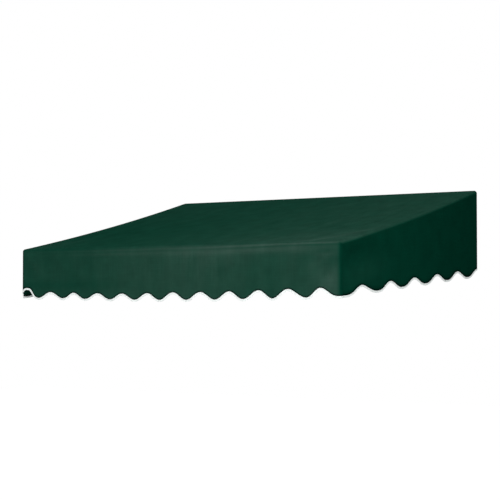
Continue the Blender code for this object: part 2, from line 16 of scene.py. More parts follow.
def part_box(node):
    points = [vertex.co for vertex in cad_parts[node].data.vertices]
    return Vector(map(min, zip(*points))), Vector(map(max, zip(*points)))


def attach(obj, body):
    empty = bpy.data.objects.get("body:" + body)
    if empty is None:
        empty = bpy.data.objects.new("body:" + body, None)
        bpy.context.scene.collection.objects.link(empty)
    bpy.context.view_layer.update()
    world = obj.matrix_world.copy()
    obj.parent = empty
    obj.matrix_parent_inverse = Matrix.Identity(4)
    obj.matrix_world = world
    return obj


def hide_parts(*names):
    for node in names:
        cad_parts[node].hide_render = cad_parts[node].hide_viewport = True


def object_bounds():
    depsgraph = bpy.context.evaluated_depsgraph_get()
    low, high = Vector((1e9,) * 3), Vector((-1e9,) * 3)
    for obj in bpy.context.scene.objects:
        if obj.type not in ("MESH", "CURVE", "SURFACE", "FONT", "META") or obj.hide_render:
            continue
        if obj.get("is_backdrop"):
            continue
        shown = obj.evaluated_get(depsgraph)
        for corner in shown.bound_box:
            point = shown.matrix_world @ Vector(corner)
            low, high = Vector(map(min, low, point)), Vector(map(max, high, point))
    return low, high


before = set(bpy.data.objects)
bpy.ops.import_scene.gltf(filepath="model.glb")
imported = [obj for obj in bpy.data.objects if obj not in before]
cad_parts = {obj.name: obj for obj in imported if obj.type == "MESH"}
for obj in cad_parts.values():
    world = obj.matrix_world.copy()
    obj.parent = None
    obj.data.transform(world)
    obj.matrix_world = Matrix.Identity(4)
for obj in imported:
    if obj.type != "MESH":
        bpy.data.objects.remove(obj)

bl_info = {
    "name": "Door Canopy",
    "version": (1, 0, 0),
    "blender": (4, 5, 0),
    "location": "View3D > Sidebar > Canopy",
    "description": "Models a cloth door canopy with a scalloped, bound edge on its tube frame",
    "category": "Add Mesh",
}

TAU = 2 * math.pi
SIDES = (("left", -1.0), ("right", 1.0))
MIRROR = Matrix.Diagonal((-1.0, 1.0, 1.0, 1.0))
WAVE_SPAN = {1: -1.0, 2: 1.0}  # a sine wave as input of a Map Range node

# Sizes that the solids have too, in metres
TUBE_RADIUS = 0.0127
TUBE_WALL = 0.0016
LINING_RADIUS = 0.0130
COVER_RADIUS = 0.0140
CLOTH_THICKNESS = 0.001
TAPE_THICKNESS = 0.0006
FIT = 0.0003
ROOF_BOW = 0.013
FRONT_SAG = 0.016
SCALLOP_DEPTH = 0.035
FRONT_SCALLOPS = 11
FRONT_PITCH = 0.153
FRONT_CORNER_REACH = 0.115
SIDE_SCALLOPS = 5
SIDE_CORNER_REACH = 0.210
FRONT_STRAP_SCALLOPS = (1, 4, 7, 10)
SIDE_STRAP_SCALLOPS = (2, 4)
LOW_BAR_CLEARANCE = 0.012
HUB_LENGTH = 0.019
SPIGOT_LENGTH = 0.032
SCREW_HOLE_RADIUS = 0.0023
PLATE_THICKNESS = 0.003
HOOK_WIDTH = 0.024
WALL_HOLE_RADIUS = 0.0035
WALL_HOLE_DEPTHS = (0.040, 0.070)
CLIP_START = 0.0006
CLIP_HOLE_SHIFT = 0.008

# In all that follows, places on the front and the roof are measured from the middle of the width, and those
# on a side from the wall. Depths are measured down from the front bar or the rafter, and lengths up the roof.

# The scalloped edge, which is even in the solids. It runs parallel to waves TIP_ROUNDING above it, as if they
# were the tape's upper border, so its tips are rounder. Fullness is a power for the broad corner scallop and
# one for the others. Moves along the edge are bells, as height, middle and width, or steps over a stretch.
TIP_ROUNDING = 0.009
FRONT_FULLNESS = (1.35, 1.0)
SIDE_FULLNESS = (2.5, 1.3)
FRONT_MOVES = ((-0.021, 0.76, 0.08), (0.013, 0.02, 0.28))
LEFT_END_MOVE, LEFT_END = 0.010, (0.52, 0.64)
FIRST_ARCH_MOVE = ((0.028, -1.18, 0.09),)
WALL_END_MOVE, WALL_END = 0.012, (-0.45, -0.20)
LEFT_SHALLOWING, LEFT_PART = 0.20, (-0.10, 0.30)
RIGHT_DEEPENING, RIGHT_PART = 0.13, (0.2, 0.7)
ARCH_DEEPENING, ARCH_ROUNDING, ARCH_RUN = 0.26, 0.7, 0.045
LEFT_TIP_DROP = 0.002

# Ripples in the stretched cloth, as spacing across and run along, the run of the scallops' flutter, and the
# seeds of their waves. The cloth lies nearly still within HELD of its seams, straps and tubes.
HELD = 0.05
FRONT_STRAP_HELD = 0.035
ROOF_RIPPLE, ROOF_SEED = (0.085, 0.9), 11
FRONT_RIPPLE, FRONT_SEED = (0.075, 0.8), 23
SIDE_RIPPLE, SIDE_SEED = (0.11, 0.7), 31
FRONT_FLUTTER, FRONT_FLUTTER_SEED = 0.31, 5
SIDE_FLUTTER, SIDE_FLUTTER_SEED = 0.4, 41
WAVES = 7

# Where the cloth moves: on the roof from 0 at the header to 1 at the front bar, with ripples that grow to
# the front and the right, and on the front and the sides between their bars and a little past them
RAFTER_HELD = 0.004
SAG_RANGE = (-0.12, 1.06)
DRAPE_RISE, DRAPE_RANGE = (0.05, 0.9), (-0.1, 1.02)
DRAPE_ZONES, DRAPE_REST = ((1.5, 0.66, 0.26),), 0.45
ROOF_FOLD_RANGE = (0.2, 1.04)
FRONT_PAST_BARS = (0.006, 0.010)
SIDE_PAST_BARS = (0.004, 0.004)
FRONT_SLACK = 0.6

# Folds that fan out from a corner, as strength and phase, at the right and at the left one. Strength is a
# share of the ripple height, FAN_PACE the phase per radian round the corner, FAN_START where the folds begin.
FAN_PACE = 15.0
FAN_REACH = 0.34
FAN_START = (0.015, 0.11)
ROOF_FANS = ((1.6, 4.0), (1.2, 1.0))
FRONT_FANS = ((2.4, 2.2), (1.3, 0.4))
SIDE_FAN = (1.8, 3.1)

# Straight folds: start, end and width, and height as a share of the ripple height
FRONT_FOLDS = (
    ((0.893, 0.034), (0.730, 0.105), 0.016, 2.4),
    ((0.885, 0.018), (0.690, 0.062), 0.011, -2.2),
    ((0.860, 0.006), (0.610, 0.040), 0.010, 1.6),
    ((0.896, 0.075), (0.835, 0.215), 0.022, 2.4),
    ((0.880, 0.085), (0.780, 0.180), 0.015, -1.8),
    ((-0.890, 0.010), (-0.760, 0.130), 0.018, 1.4),
)
ROOF_FOLDS = (
    ((0.740, 0.020), (0.885, 0.420), 0.022, 3.0),
    ((0.690, 0.015), (0.870, 0.230), 0.016, 2.4),
    ((0.600, 0.010), (0.840, 0.110), 0.012, 2.4),
    ((0.480, 0.008), (0.760, 0.050), 0.010, 1.8),
    ((-0.880, 0.030), (-0.700, 0.350), 0.025, 1.4),
)

# Painted sheen and painted shade on the cloth, from 0 to 1. The sheen is a greyer tone that stands in for the
# lamps' sheen and highlights on the front and the roof; the shade darkens the cloth where it turns from the
# lamps.
# A zone is a strength, a middle and a width along the cloth. A patch has a middle and a width downwards too,
# those of creases and corners measured from the long crease at the front bar, which rises to the right.
# FAR_MM is a distance from tape or seam past which the cloth has neither painted hem shade nor a seam ridge.
LEAST_SHEEN = 0.02
FRONT_SHEEN = 0.17
ROOF_SHEEN = 0.08
FOLD_SHEEN = 0.05
# Painted sheen zones along the front, strongest a little right of the middle
FRONT_ZONES = ((0.22, 0.10, 0.38), (0.12, 0.72, 0.14), (0.06, -0.28, 0.16))
# Painted highlight lines just under the fold over the front bar
FOLD_HIGHLIGHTS = ((0.12, -0.30, 0.27, 0.004, 0.004), (0.15, -0.30, 0.27, 0.021, 0.007))
CREASE_RISE, CREASE_RUN = 0.012, (0.1, 0.88)
# Painted highlights along the crease under the front bar, and one patch of painted shade
CREASE_PATCHES = (
    (0.60, 0.56, 0.48, 0.000, 0.0056),
    (-0.16, 0.56, 0.48, 0.010, 0.0040),
    (0.32, 0.84, 0.12, 0.000, 0.0056),
    (0.15, 0.25, 0.33, 0.021, 0.0160),
    (0.14, 0.30, 0.16, 0.055, 0.0300),
)
# Painted highlights near the right front corner
CORNER_PATCHES = ((0.30, 0.82, 0.07, 0.052, 0.012), (0.20, 0.88, 0.06, 0.024, 0.030))
# A faint painted highlight on each side panel's front end
SIDE_PATCHES = ((0.045, -1.18, 0.20, 0.155, 0.065),)
# Painted shade under the rafter's front end on each side
SIDE_SHADE = ((0.20, -1.22, 0.16, 0.035, 0.030),)
# How much earlier the front's painted sheen ends on the corner rolls
FRONT_SHEEN_END = 0.018
# The run over the front bar in which the front's painted sheen becomes the roof's
SHEEN_BLEND = 0.03
# Painted shade on the cloth round the header rail, which turns from the lamps
HEADER_SHADE = 0.7
FAR_MM = 100.0

# How finely things are divided
FINE_STEP = 0.0022
FINE_DEPTH = 0.050
CLOTH_STEP = 0.008
ROOF_STEP = 0.011
TAPE_STEP = 0.005
EDGE_STEPS = 6001
FOLD_STEPS = 8
ROLL_STEPS = 6
RAFTER_STEPS = 80
TUBE_ROUND_STEPS = 20
TUBE_BOW_STEPS, TUBE_STRAIGHT_STEPS = 32, 4
HOOK_STEPS = 28
CASTING_VOXEL = 0.0012
MERGE_DISTANCE = 0.00001

# Sewing: the tape's row as a share of its width, the seams' rows from the edge, and thread radii. The seams
# end a little short of the bars and the tips. A stitch's rings are given as place along it, lift and width,
# in halves of its length and in thread radii.
TAPE_ROW = 0.72
SEAM_ROWS = (0.003, 0.0075)
RAFTER_SEAM, RAFTER_SEAM_POINTS = (0.985, 0.015), 240
POST_SEAM_SHORT, POST_SEAM_POINTS = (0.010, 0.016), 60
TAPE_THREAD = 0.00028
SEAM_THREAD = 0.0003
STITCH_PITCH = 1.25
STITCH_SIDES = 5
STITCH_RINGS = ((-1.0, -0.6, 0.6), (-0.5, 0.5, 1.0), (0.5, 0.5, 1.0), (1.0, -0.6, 0.6))

# How far cut and pressed edges are rounded
TUBE_EDGE = 0.0003
PLATE_EDGE = 0.0005
WEBBING_EDGE = 0.0005

# Stage: lamps as name, place, size in metres and power in watts, all aimed at one point, and the camera
LAMP_TARGET = Vector((0.0, -0.9, -0.3))
LAMPS = (
    ("key_front", Vector((0.2, -5.2, 1.0)), 3.0, 96.0),
    ("fill_front_right", Vector((3.7, -3.3, 0.1)), 2.0, 74.0),
    ("top_soft", Vector((1.0, 0.4, 3.6)), 3.0, 24.0),
)
FLOOR_SIZE = 40.0
FLOOR_GLOW = 0.72
AMBIENT = 0.33
CAMERA_PLACE = (4.161, -6.918, -0.542)
CAMERA_TURN = (91.949, 0.0, 33.798)
CAMERA_LENS = 108.0
CAMERA_SENSOR = 36.0


def linear(hex_colour):
    """Linear RGB of an sRGB colour written as #RRGGBB."""
    values = [int(hex_colour[index:index + 2], 16) / 255 for index in (1, 3, 5)]
    return tuple(v / 12.92 if v <= 0.04045 else ((v + 0.055) / 1.055) ** 2.4 for v in values)


def tube_ends(node):
    """Centres of the two end rings of a tube's solid, from left to right, front to back or bottom to top."""
    ring_depth = 0.003
    points = np.array([vertex.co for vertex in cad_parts[node].data.vertices])
    points = np.unique(points.round(5), axis=0)
    middle = points.mean(axis=0)
    axis = np.linalg.svd(points - middle, full_matrices=False)[2][0]
    along = (points - middle) @ axis
    first = points[along < along.min() + ring_depth].mean(axis=0)
    last = points[along > along.max() - ring_depth].mean(axis=0)
    return sorted((Vector(first), Vector(last)), key=lambda end: (round(end.x, 4), end.y, end.z))


# Places of the frame, read from the solids
HEADER = np.array(tube_ends("header_rail_left")[0].yz)
FRONT_BAR = np.array(tube_ends("front_bar_left")[0].yz)
ROOF_CHORD = FRONT_BAR - HEADER
ROOF_DOWN = np.array((-ROOF_CHORD[1], ROOF_CHORD[0])) / np.linalg.norm(ROOF_CHORD)
LOW_BAR_Z = tube_ends("lower_front_bar_left")[0].z
POST_X = tube_ends("rear_post_right")[0].x
SIDE_BAR = tube_ends("lower_side_bar_right")
SIDE_SLOPE = (SIDE_BAR[1].z - SIDE_BAR[0].z) / (SIDE_BAR[1].y - SIDE_BAR[0].y)
PROJECTION = COVER_RADIUS - FRONT_BAR[0]
TIP_Z = LOW_BAR_Z - SIDE_SLOPE * COVER_RADIUS - SCALLOP_DEPTH - LOW_BAR_CLEARANCE - TUBE_RADIUS
ROLL_LENGTH = COVER_RADIUS * math.pi / 2
CORNER = POST_X + ROLL_LENGTH / 2
SIDE_PITCH = (PROJECTION - SIDE_CORNER_REACH) / SIDE_SCALLOPS
WRAP_X = POST_X - 0.0139  # half the width of the hem round the header rail, which ends short of the posts


class CanopySizes(bpy.types.PropertyGroup):
    """Sizes that can change without moving the frame."""

    bay_sag: FloatProperty(
        name="Roof Sag", description="How far the roof sags between two rafters",
        default=0.005, min=0.0, max=0.009, unit="LENGTH",
    )
    ripple: FloatProperty(
        name="Ripple Height", description="Height of the soft ripples in the stretched cloth",
        default=0.0009, min=0.0, max=0.004, unit="LENGTH",
    )
    flutter: FloatProperty(
        name="Scallop Flutter", description="How far single scallops stand away from the lower bar",
        default=0.003, min=0.0, max=0.008, unit="LENGTH",
    )
    band_width: FloatProperty(
        name="Binding Width", description="Height of the white tape on the scalloped edge",
        default=0.009, min=0.004, max=0.02, unit="LENGTH",
    )
    stitch_length: FloatProperty(
        name="Stitch Length", description="Length of one stitch of the sewing thread",
        default=0.0032, min=0.001, max=0.008, unit="LENGTH",
    )
    thread_spacing: FloatProperty(
        name="Weave Spacing",
        description="Distance between the threads, three times the real 0.5 mm so that they show",
        default=0.0016, min=0.0004, max=0.01, unit="LENGTH",
    )
    floor_drop: FloatProperty(
        name="Height Above Floor", description="Height of the lowest scallop over the floor",
        default=2.05, min=0.5, max=4.0, unit="LENGTH",
    )


class CanopyColours(bpy.types.PropertyGroup):
    """Colours that a user would change."""

    cloth: FloatVectorProperty(
        name="Cloth", description="Dyed colour of the awning cloth",
        subtype="COLOR", size=3, min=0.0, max=1.0, default=linear("#093A2C"),
    )
    # Painted shade: a darker copy of the cloth colour, taken where the painted sheen is low, on the sides and
    # corner rolls
    shaded: FloatVectorProperty(
        name="Shaded Cloth", description="Deeper colour of the cloth where it sees little sun",
        subtype="COLOR", size=3, min=0.0, max=1.0, default=linear("#033124"),
    )
    # Painted sheen: the greyer colour that the front and the roof take towards their painted highlights
    sheen_colour: FloatVectorProperty(
        name="Bleached Cloth", description="Colour of the cloth where sun and stretch have greyed it",
        subtype="COLOR", size=3, min=0.0, max=1.0, default=linear("#365046"),
    )
    underside: FloatVectorProperty(
        name="Underside", description="Colour of the coating inside the cover",
        subtype="COLOR", size=3, min=0.0, max=1.0, default=linear("#101F19"),
    )
    tape: FloatVectorProperty(
        name="Binding", description="Colour of the binding tape",
        subtype="COLOR", size=3, min=0.0, max=1.0, default=linear("#F5FBF9"),
    )
    steel: FloatVectorProperty(
        name="Galvanised Steel", description="Colour of the zinc skin of the tubes",
        subtype="COLOR", size=3, min=0.0, max=1.0, default=linear("#B9BDBF"),
    )


def clear_selection():
    """Leave edit mode and deselect everything."""
    if bpy.context.object and bpy.context.object.mode != "OBJECT":
        bpy.ops.object.mode_set(mode="OBJECT")
    bpy.ops.object.select_all(action="DESELECT")


def make_active(item):
    """Select one object alone."""
    clear_selection()
    item.select_set(True)
    bpy.context.view_layer.objects.active = item


def apply_place(item):
    """Move an object's place, turn and size into its mesh."""
    make_active(item)
    bpy.ops.object.transform_apply(location=True, rotation=True, scale=True)


def apply_modifier(item, kind, **settings):
    """Add a modifier, set it up and apply it."""
    make_active(item)
    modifier = item.modifiers.new(kind.title(), kind)
    for name, value in settings.items():
        setattr(modifier, name, value)
    bpy.ops.object.modifier_apply(modifier=modifier.name)


def boolean(item, helpers, operation):
    """Unite or cut an object with helpers, which are then removed."""
    for helper in helpers:
        apply_modifier(item, "BOOLEAN", operation=operation, object=helper, solver="EXACT")
        bpy.data.objects.remove(helper, do_unlink=True)


def break_edges(item, width, degrees):
    """Round the edges that are sharper than an angle, as a file or a press leaves them."""
    apply_modifier(
        item, "BEVEL", width=width, segments=2, limit_method="ANGLE", angle_limit=math.radians(degrees))


def add_cylinder(start, end, radius, sides=48):
    """A capped cylinder between two points."""
    clear_selection()
    axis = end - start
    turn = axis.to_track_quat("Z", "Y").to_euler()
    bpy.ops.mesh.primitive_cylinder_add(
        vertices=sides, radius=radius, depth=axis.length, location=(start + end) / 2, rotation=turn)
    item = bpy.context.object
    apply_place(item)
    return item


def add_block(low, high):
    """A box between two corners."""
    clear_selection()
    size = high - low
    bpy.ops.mesh.primitive_cube_add(size=1.0, location=(low + high) / 2, scale=size)
    item = bpy.context.object
    apply_place(item)
    return item


def join(items):
    """Join objects into the first one."""
    make_active(items[0])
    for item in items[1:]:
        item.select_set(True)
    bpy.ops.object.join()
    return items[0]


def shade(item, degrees=32.0):
    """Smooth shading up to an angle between faces."""
    make_active(item)
    bpy.ops.object.shade_smooth_by_angle(angle=math.radians(degrees))


def finish_piece(item, name, slot, nodes, *materials):
    """Name a piece, give it its finish and let it stand for its solids on the frame."""
    item.name = name
    item.data.name = name
    item.data.materials.clear()
    for material in materials:
        item.data.materials.append(material)
    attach(item, "root")
    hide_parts(*nodes)


def copy_piece(item, place, name, slot, node, material):
    """Add a finished copy of a piece, with its own mesh, moved, turned or mirrored to its place."""
    twin = bpy.data.objects.new(name, item.data.copy())
    bpy.context.scene.collection.objects.link(twin)
    twin.data.transform(place)
    if place.determinant() < 0:
        twin.data.flip_normals()
    finish_piece(twin, name, slot, [node], material)


def finish_pair(item, node, ending, slot, material):
    """Finish a piece of the frame, and add the right-hand twin of a left-hand one as its mirror image."""
    finish_piece(item, node + ending, slot, [node], material)
    if node.endswith("_left"):
        twin = node.replace("_left", "_right")
        copy_piece(item, MIRROR, twin + ending, slot, twin, material)


def add_node(tree, kind, inputs=None, **settings):
    """Add a node, set its properties, and fill or link its inputs."""
    node = tree.nodes.new(kind)
    for name, value in settings.items():
        setattr(node, name, value)
    for name, value in (inputs or {}).items():
        if isinstance(value, bpy.types.NodeSocket):
            tree.links.new(value, node.inputs[name])
        else:
            node.inputs[name].default_value = value
    return node


def new_material(name):
    """A new material and its empty tree, or the material of that name and None if it is there already."""
    found = bpy.data.materials.get(name)
    if found:
        return found, None
    material = bpy.data.materials.new(name)
    material.use_nodes = True
    material.node_tree.nodes.clear()
    return material, material.node_tree


def close_material(tree, colour, gains, inputs, *reliefs):
    """Give a material its surface: a colour times gains, other inputs of the shader, and stacked bumps.

    A relief is a height with its depth in metres and its strength.
    """
    gain = gains[0]
    for factor in gains[1:]:
        gain = add_node(tree, "ShaderNodeMath", {0: gain, 1: factor}, operation="MULTIPLY").outputs[0]
    tinted = add_node(tree, "ShaderNodeVectorMath", {0: colour, "Scale": gain}, operation="SCALE")
    inputs = {"Base Color": tinted.outputs[0], **inputs}
    below = {}
    for height, depth, strength in reliefs:
        bump = add_node(
            tree, "ShaderNodeBump", {"Height": height, "Distance": depth, "Strength": strength, **below})
        below = {"Normal": bump.outputs[0]}
    shader = add_node(tree, "ShaderNodeBsdfPrincipled", {**inputs, **below})
    add_node(tree, "ShaderNodeOutputMaterial", {"Surface": shader.outputs[0]})


def mottle(tree, place, size, detail, *ranges):
    """Noise with spots of a size in metres, followed by the same noise brought to each range of values."""
    noise = add_node(
        tree, "ShaderNodeTexNoise", {"Vector": place, "Scale": 1 / size, "Detail": detail}).outputs[0]
    mapped = [
        add_node(tree, "ShaderNodeMapRange", {0: noise, 1: 0.3, 2: 0.7, 3: low, 4: high}).outputs[0]
        for low, high in ranges]
    return noise, *mapped


def stretched_noise(tree, place, sizes, detail, roughness=0.5):
    """Noise whose spots have a size of their own along each axis, in metres."""
    scale = [1 / size for size in sizes]
    spread = add_node(tree, "ShaderNodeMapping", {"Vector": place, "Scale": scale}).outputs[0]
    inputs = {"Vector": spread, "Scale": 1.0, "Detail": detail, "Roughness": roughness}
    return add_node(tree, "ShaderNodeTexNoise", inputs).outputs[0]


def ribs(tree, distance, spacing):
    """Height of even round ribs, from -1 to 1, at a spacing in metres along a distance."""
    phase = add_node(tree, "ShaderNodeMath", {0: distance, 1: TAU / spacing}, operation="MULTIPLY").outputs[0]
    return add_node(tree, "ShaderNodeMath", {0: phase}, operation="SINE").outputs[0]


def plain_weave(tree, uv):
    """Height of the threads of a plain weave, from -1 to 1."""
    spacing = bpy.context.scene.canopy_sizes.thread_spacing
    split = add_node(tree, "ShaderNodeSeparateXYZ", {0: uv})
    warp, weft = (ribs(tree, split.outputs[axis], spacing) for axis in ("X", "Y"))
    return add_node(tree, "ShaderNodeMath", {0: warp, 1: weft}, operation="MULTIPLY").outputs[0]


def awning_cloth():
    """Solution-dyed acrylic canvas, plain weave: dull and deep, greyed by painted sheen and darkened by
    painted shade.

    Its slubs are drawn 3 mm wide, about two threads, so that they show. The cloth is painted darker just
    above the tape, as painted shade, and stands up a little beside the seams.
    """
    material, tree = new_material("awning_canvas")
    if tree is None:
        return material
    colours = bpy.context.scene.canopy_colours
    uv = add_node(tree, "ShaderNodeUVMap", uv_map="cloth").outputs[0]
    bleach, hem, seam, grime = (
        add_node(tree, "ShaderNodeAttribute", attribute_name=name).outputs["Fac"]
        for name in ("bleach", "hem_mm", "seam_mm", "grime"))
    weave = plain_weave(tree, uv)
    warp_slub = stretched_noise(tree, uv, (0.003, 0.18, 1.0), 2.0, 0.6)
    weft_slub = stretched_noise(tree, uv, (0.16, 0.003, 1.0), 2.0, 0.6)
    slub = add_node(tree, "ShaderNodeMath", {0: warp_slub, 1: weft_slub}, operation="ADD").outputs[0]
    wisp = stretched_noise(tree, uv, (0.06, 0.20, 1.0), 3.0)
    crease = stretched_noise(tree, uv, (0.022, 0.09, 1.0), 3.0)
    wisp_gain = add_node(tree, "ShaderNodeMapRange", {0: wisp, 1: 0.25, 2: 0.75, 3: 0.78, 4: 1.22}).outputs[0]
    # Painted sheen: its share greys the cloth where the lamps would glance off it
    share = add_node(
        tree, "ShaderNodeMath", {0: bleach, 1: wisp_gain}, operation="MULTIPLY", use_clamp=True).outputs[0]
    lit_share = add_node(tree, "ShaderNodeMapRange", {0: share, 1: 0.0, 2: 0.1}).outputs[0]
    # Painted shade: where the painted sheen is low, the cloth takes its darker shaded copy
    plain = add_node(
        tree, "ShaderNodeMix",
        {"Factor": lit_share, 6: (*colours.shaded, 1.0), 7: (*colours.cloth, 1.0)}, data_type="RGBA")
    sheened = add_node(
        tree, "ShaderNodeMix",
        {"Factor": share, 6: plain.outputs[2], 7: (*colours.sheen_colour, 1.0)}, data_type="RGBA")
    # Painted shade just above the tape, from 9 to 20 mm over the edge
    pressed = add_node(
        tree, "ShaderNodeMapRange",
        {0: hem, 1: 9.0, 2: 20.0, 3: 0.25, 4: 1.0}, interpolation_type="SMOOTHSTEP").outputs[0]
    ridge = add_node(
        tree, "ShaderNodeMapRange",
        {0: seam, 1: 9.0, 2: 11.0, 3: 1.0, 4: 0.0}, interpolation_type="SMOOTHSTEP").outputs[0]
    # Painted shade from the shade attribute: the left rolls, the header roll, and the sides' wall ends and
    # tips
    shade_gain = add_node(tree, "ShaderNodeMapRange", {0: grime, 3: 1.0, 4: 0.25}).outputs[0]
    slub_gain = add_node(tree, "ShaderNodeMapRange", {0: slub, 1: 0.6, 2: 1.4, 3: 0.88, 4: 1.12}).outputs[0]
    _, cloud_gain = mottle(tree, uv, 0.09, 3.0, (0.91, 1.09))
    # The weave's hollows are painted darker and its high threads lighter
    weave_gain = add_node(tree, "ShaderNodeMapRange", {0: weave, **WAVE_SPAN, 3: 0.90, 4: 1.10}).outputs[0]
    close_material(
        tree, sheened.outputs[2], (pressed, shade_gain, slub_gain, cloud_gain, weave_gain),
        {"Roughness": 0.95, "Diffuse Roughness": 0.6, "Specular IOR Level": 0.0},
        (ridge, 0.0006, 0.8), (crease, 0.0012, 0.5), (slub, 0.0003, 0.5), (weave, 0.00015, 0.6))
    return material


def coated_underside():
    """Acrylic coating on the back of the canvas: nearly black, with the weave showing through."""
    material, tree = new_material("acrylic_coating")
    if tree is None:
        return material
    colours = bpy.context.scene.canopy_colours
    uv = add_node(tree, "ShaderNodeUVMap", uv_map="cloth").outputs[0]
    _, gain = mottle(tree, uv, 0.12, 4.0, (0.85, 1.15))
    close_material(
        tree, colours.underside, (gain,), {"Roughness": 0.75, "Specular IOR Level": 0.15},
        (plain_weave(tree, uv), 0.0001, 0.5))
    return material


def binding_tape():
    """Polyester grosgrain tape: white, dull, with fine ribs across it, darker between them, and faintly
    mottled.

    The ribs are drawn 1.2 mm apart, about twice the real spacing, so that they show.
    """
    material, tree = new_material("grosgrain_tape")
    if tree is None:
        return material
    colours = bpy.context.scene.canopy_colours
    uv = add_node(tree, "ShaderNodeUVMap", uv_map="cloth").outputs[0]
    split = add_node(tree, "ShaderNodeSeparateXYZ", {0: uv})
    rib = ribs(tree, split.outputs["X"], 0.0012)
    groove = add_node(tree, "ShaderNodeMapRange", {0: rib, **WAVE_SPAN, 3: 0.93, 4: 1.0}).outputs[0]
    _, clean = mottle(tree, uv, 0.04, 4.0, (0.93, 1.0))
    close_material(
        tree, colours.tape, (clean, groove), {"Roughness": 0.85, "Specular IOR Level": 0.2},
        (rib, 0.00012, 0.7))
    return material


def sewing_thread(name, hex_colour):
    """Polyester sewing thread: twisted and dull, so that it hardly shows on cloth of its own colour.

    Its twist is drawn at 0.8 mm, about twice the real one, so that it shows.
    """
    material, tree = new_material(name)
    if tree is None:
        return material
    place = add_node(tree, "ShaderNodeTexCoord").outputs["Object"]
    _, gain = mottle(tree, place, 0.0008, 1.0, (0.75, 1.1))
    close_material(tree, linear(hex_colour), (gain,), {"Roughness": 0.9, "Specular IOR Level": 0.05})
    return material


def galvanised_steel():
    """Hot-dip galvanised tube: grey zinc with soft-edged crystals of slightly different shine."""
    material, tree = new_material("galvanised_steel")
    if tree is None:
        return material
    colours = bpy.context.scene.canopy_colours
    place = add_node(tree, "ShaderNodeTexCoord").outputs["Object"]
    crystal = add_node(tree, "ShaderNodeTexVoronoi", {"Vector": place, "Scale": 1 / 0.009})
    tone = add_node(tree, "ShaderNodeSeparateColor", {0: crystal.outputs["Color"]}).outputs[0]
    shine = add_node(tree, "ShaderNodeMapRange", {0: tone, 3: 0.34, 4: 0.48}).outputs[0]
    crystal_gain = add_node(tree, "ShaderNodeMapRange", {0: tone, 3: 0.86, 4: 1.06}).outputs[0]
    smudge, dull, smudge_gain = mottle(tree, place, 0.05, 4.0, (-0.05, 0.08), (1.04, 0.88))
    roughness = add_node(tree, "ShaderNodeMath", {0: shine, 1: dull}, operation="ADD").outputs[0]
    close_material(
        tree, colours.steel, (crystal_gain, smudge_gain), {"Metallic": 1.0, "Roughness": roughness},
        (smudge, 0.0004, 0.3))
    return material


def cast_aluminium():
    """Sand-cast aluminium, blasted: light grey with a fine pebbled skin.

    The pebble is drawn at 1.1 mm, more than twice the real size, so that it shows.
    """
    material, tree = new_material("cast_aluminium_blasted")
    if tree is None:
        return material
    place = add_node(tree, "ShaderNodeTexCoord").outputs["Object"]
    pebble, roughness = mottle(tree, place, 0.0011, 2.0, (0.45, 0.62))
    _, stain_gain = mottle(tree, place, 0.012, 4.0, (0.82, 1.05))
    close_material(
        tree, linear("#B4B6B8"), (stain_gain,), {"Metallic": 1.0, "Roughness": roughness},
        (pebble, 0.0002, 0.5))
    return material


def zinc_plate():
    """Rolled steel plate, bright zinc plated: bluish, with faint rolling lines and hazy spots.

    The lines are drawn 0.7 mm apart, about three times the real spacing, so that they show.
    """
    material, tree = new_material("zinc_plated_steel")
    if tree is None:
        return material
    place = add_node(tree, "ShaderNodeTexCoord").outputs["Object"]
    line = stretched_noise(tree, place, (0.0007, 0.0007, 0.03), 2.0)
    haze, roughness = mottle(tree, place, 0.015, 4.0, (0.24, 0.42))
    tint = add_node(tree, "ShaderNodeMix", {
        "Factor": haze, 6: (*linear("#BFC4CB"), 1.0), 7: (*linear("#A9ADAF"), 1.0)}, data_type="RGBA")
    close_material(
        tree, tint.outputs[2], (1.0,), {"Metallic": 1.0, "Roughness": roughness}, (line, 0.00008, 0.5))
    return material


def black_webbing():
    """Woven nylon webbing: black, with a herringbone of ribs and a faint shine on the high threads.

    The ribs are drawn 1.5 mm apart, somewhat coarser than real ones, so that they show.
    """
    material, tree = new_material("nylon_webbing")
    if tree is None:
        return material
    uv = add_node(tree, "ShaderNodeUVMap", uv_map="cloth").outputs[0]
    split = add_node(tree, "ShaderNodeSeparateXYZ", {0: uv})
    fold = add_node(tree, "ShaderNodeMath", {0: split.outputs["Y"]}, operation="ABSOLUTE").outputs[0]
    slant = add_node(tree, "ShaderNodeMath", {0: split.outputs["X"], 1: fold}, operation="ADD").outputs[0]
    rib = ribs(tree, slant, 0.0015)
    gain = add_node(tree, "ShaderNodeMapRange", {0: rib, **WAVE_SPAN, 3: 0.5, 4: 1.3}).outputs[0]
    close_material(
        tree, linear("#232424"), (gain,), {"Roughness": 0.7, "Specular IOR Level": 0.3}, (rib, 0.0003, 0.8))
    return material


def stainless_steel():
    """Cold-headed stainless screw steel: bright, with faint die marks.

    The marks are drawn at 0.9 mm, about three times the real size, so that they show.
    """
    material, tree = new_material("stainless_screw_steel")
    if tree is None:
        return material
    place = add_node(tree, "ShaderNodeTexCoord").outputs["Object"]
    _, roughness, gain = mottle(tree, place, 0.0009, 3.0, (0.18, 0.34), (0.9, 1.04))
    close_material(tree, linear("#C9C8C4"), (gain,), {"Metallic": 1.0, "Roughness": roughness})
    return material


def rafter_axis(t):
    """Points (y, z) of the rafters' bowed axis; t is 0 at the header rail and 1 at the front bar."""
    t = np.asarray(t, dtype=float)[..., None]
    return HEADER + ROOF_CHORD * t + ROOF_DOWN * (4 * ROOF_BOW * t * (1 - t))


def roof_angle(t):
    """Angle of the roof's upward normal in the (y, z) plane."""
    slope = ROOF_CHORD + ROOF_DOWN * (4 * ROOF_BOW * (1 - 2 * t))
    return math.atan2(-slope[0], slope[1])


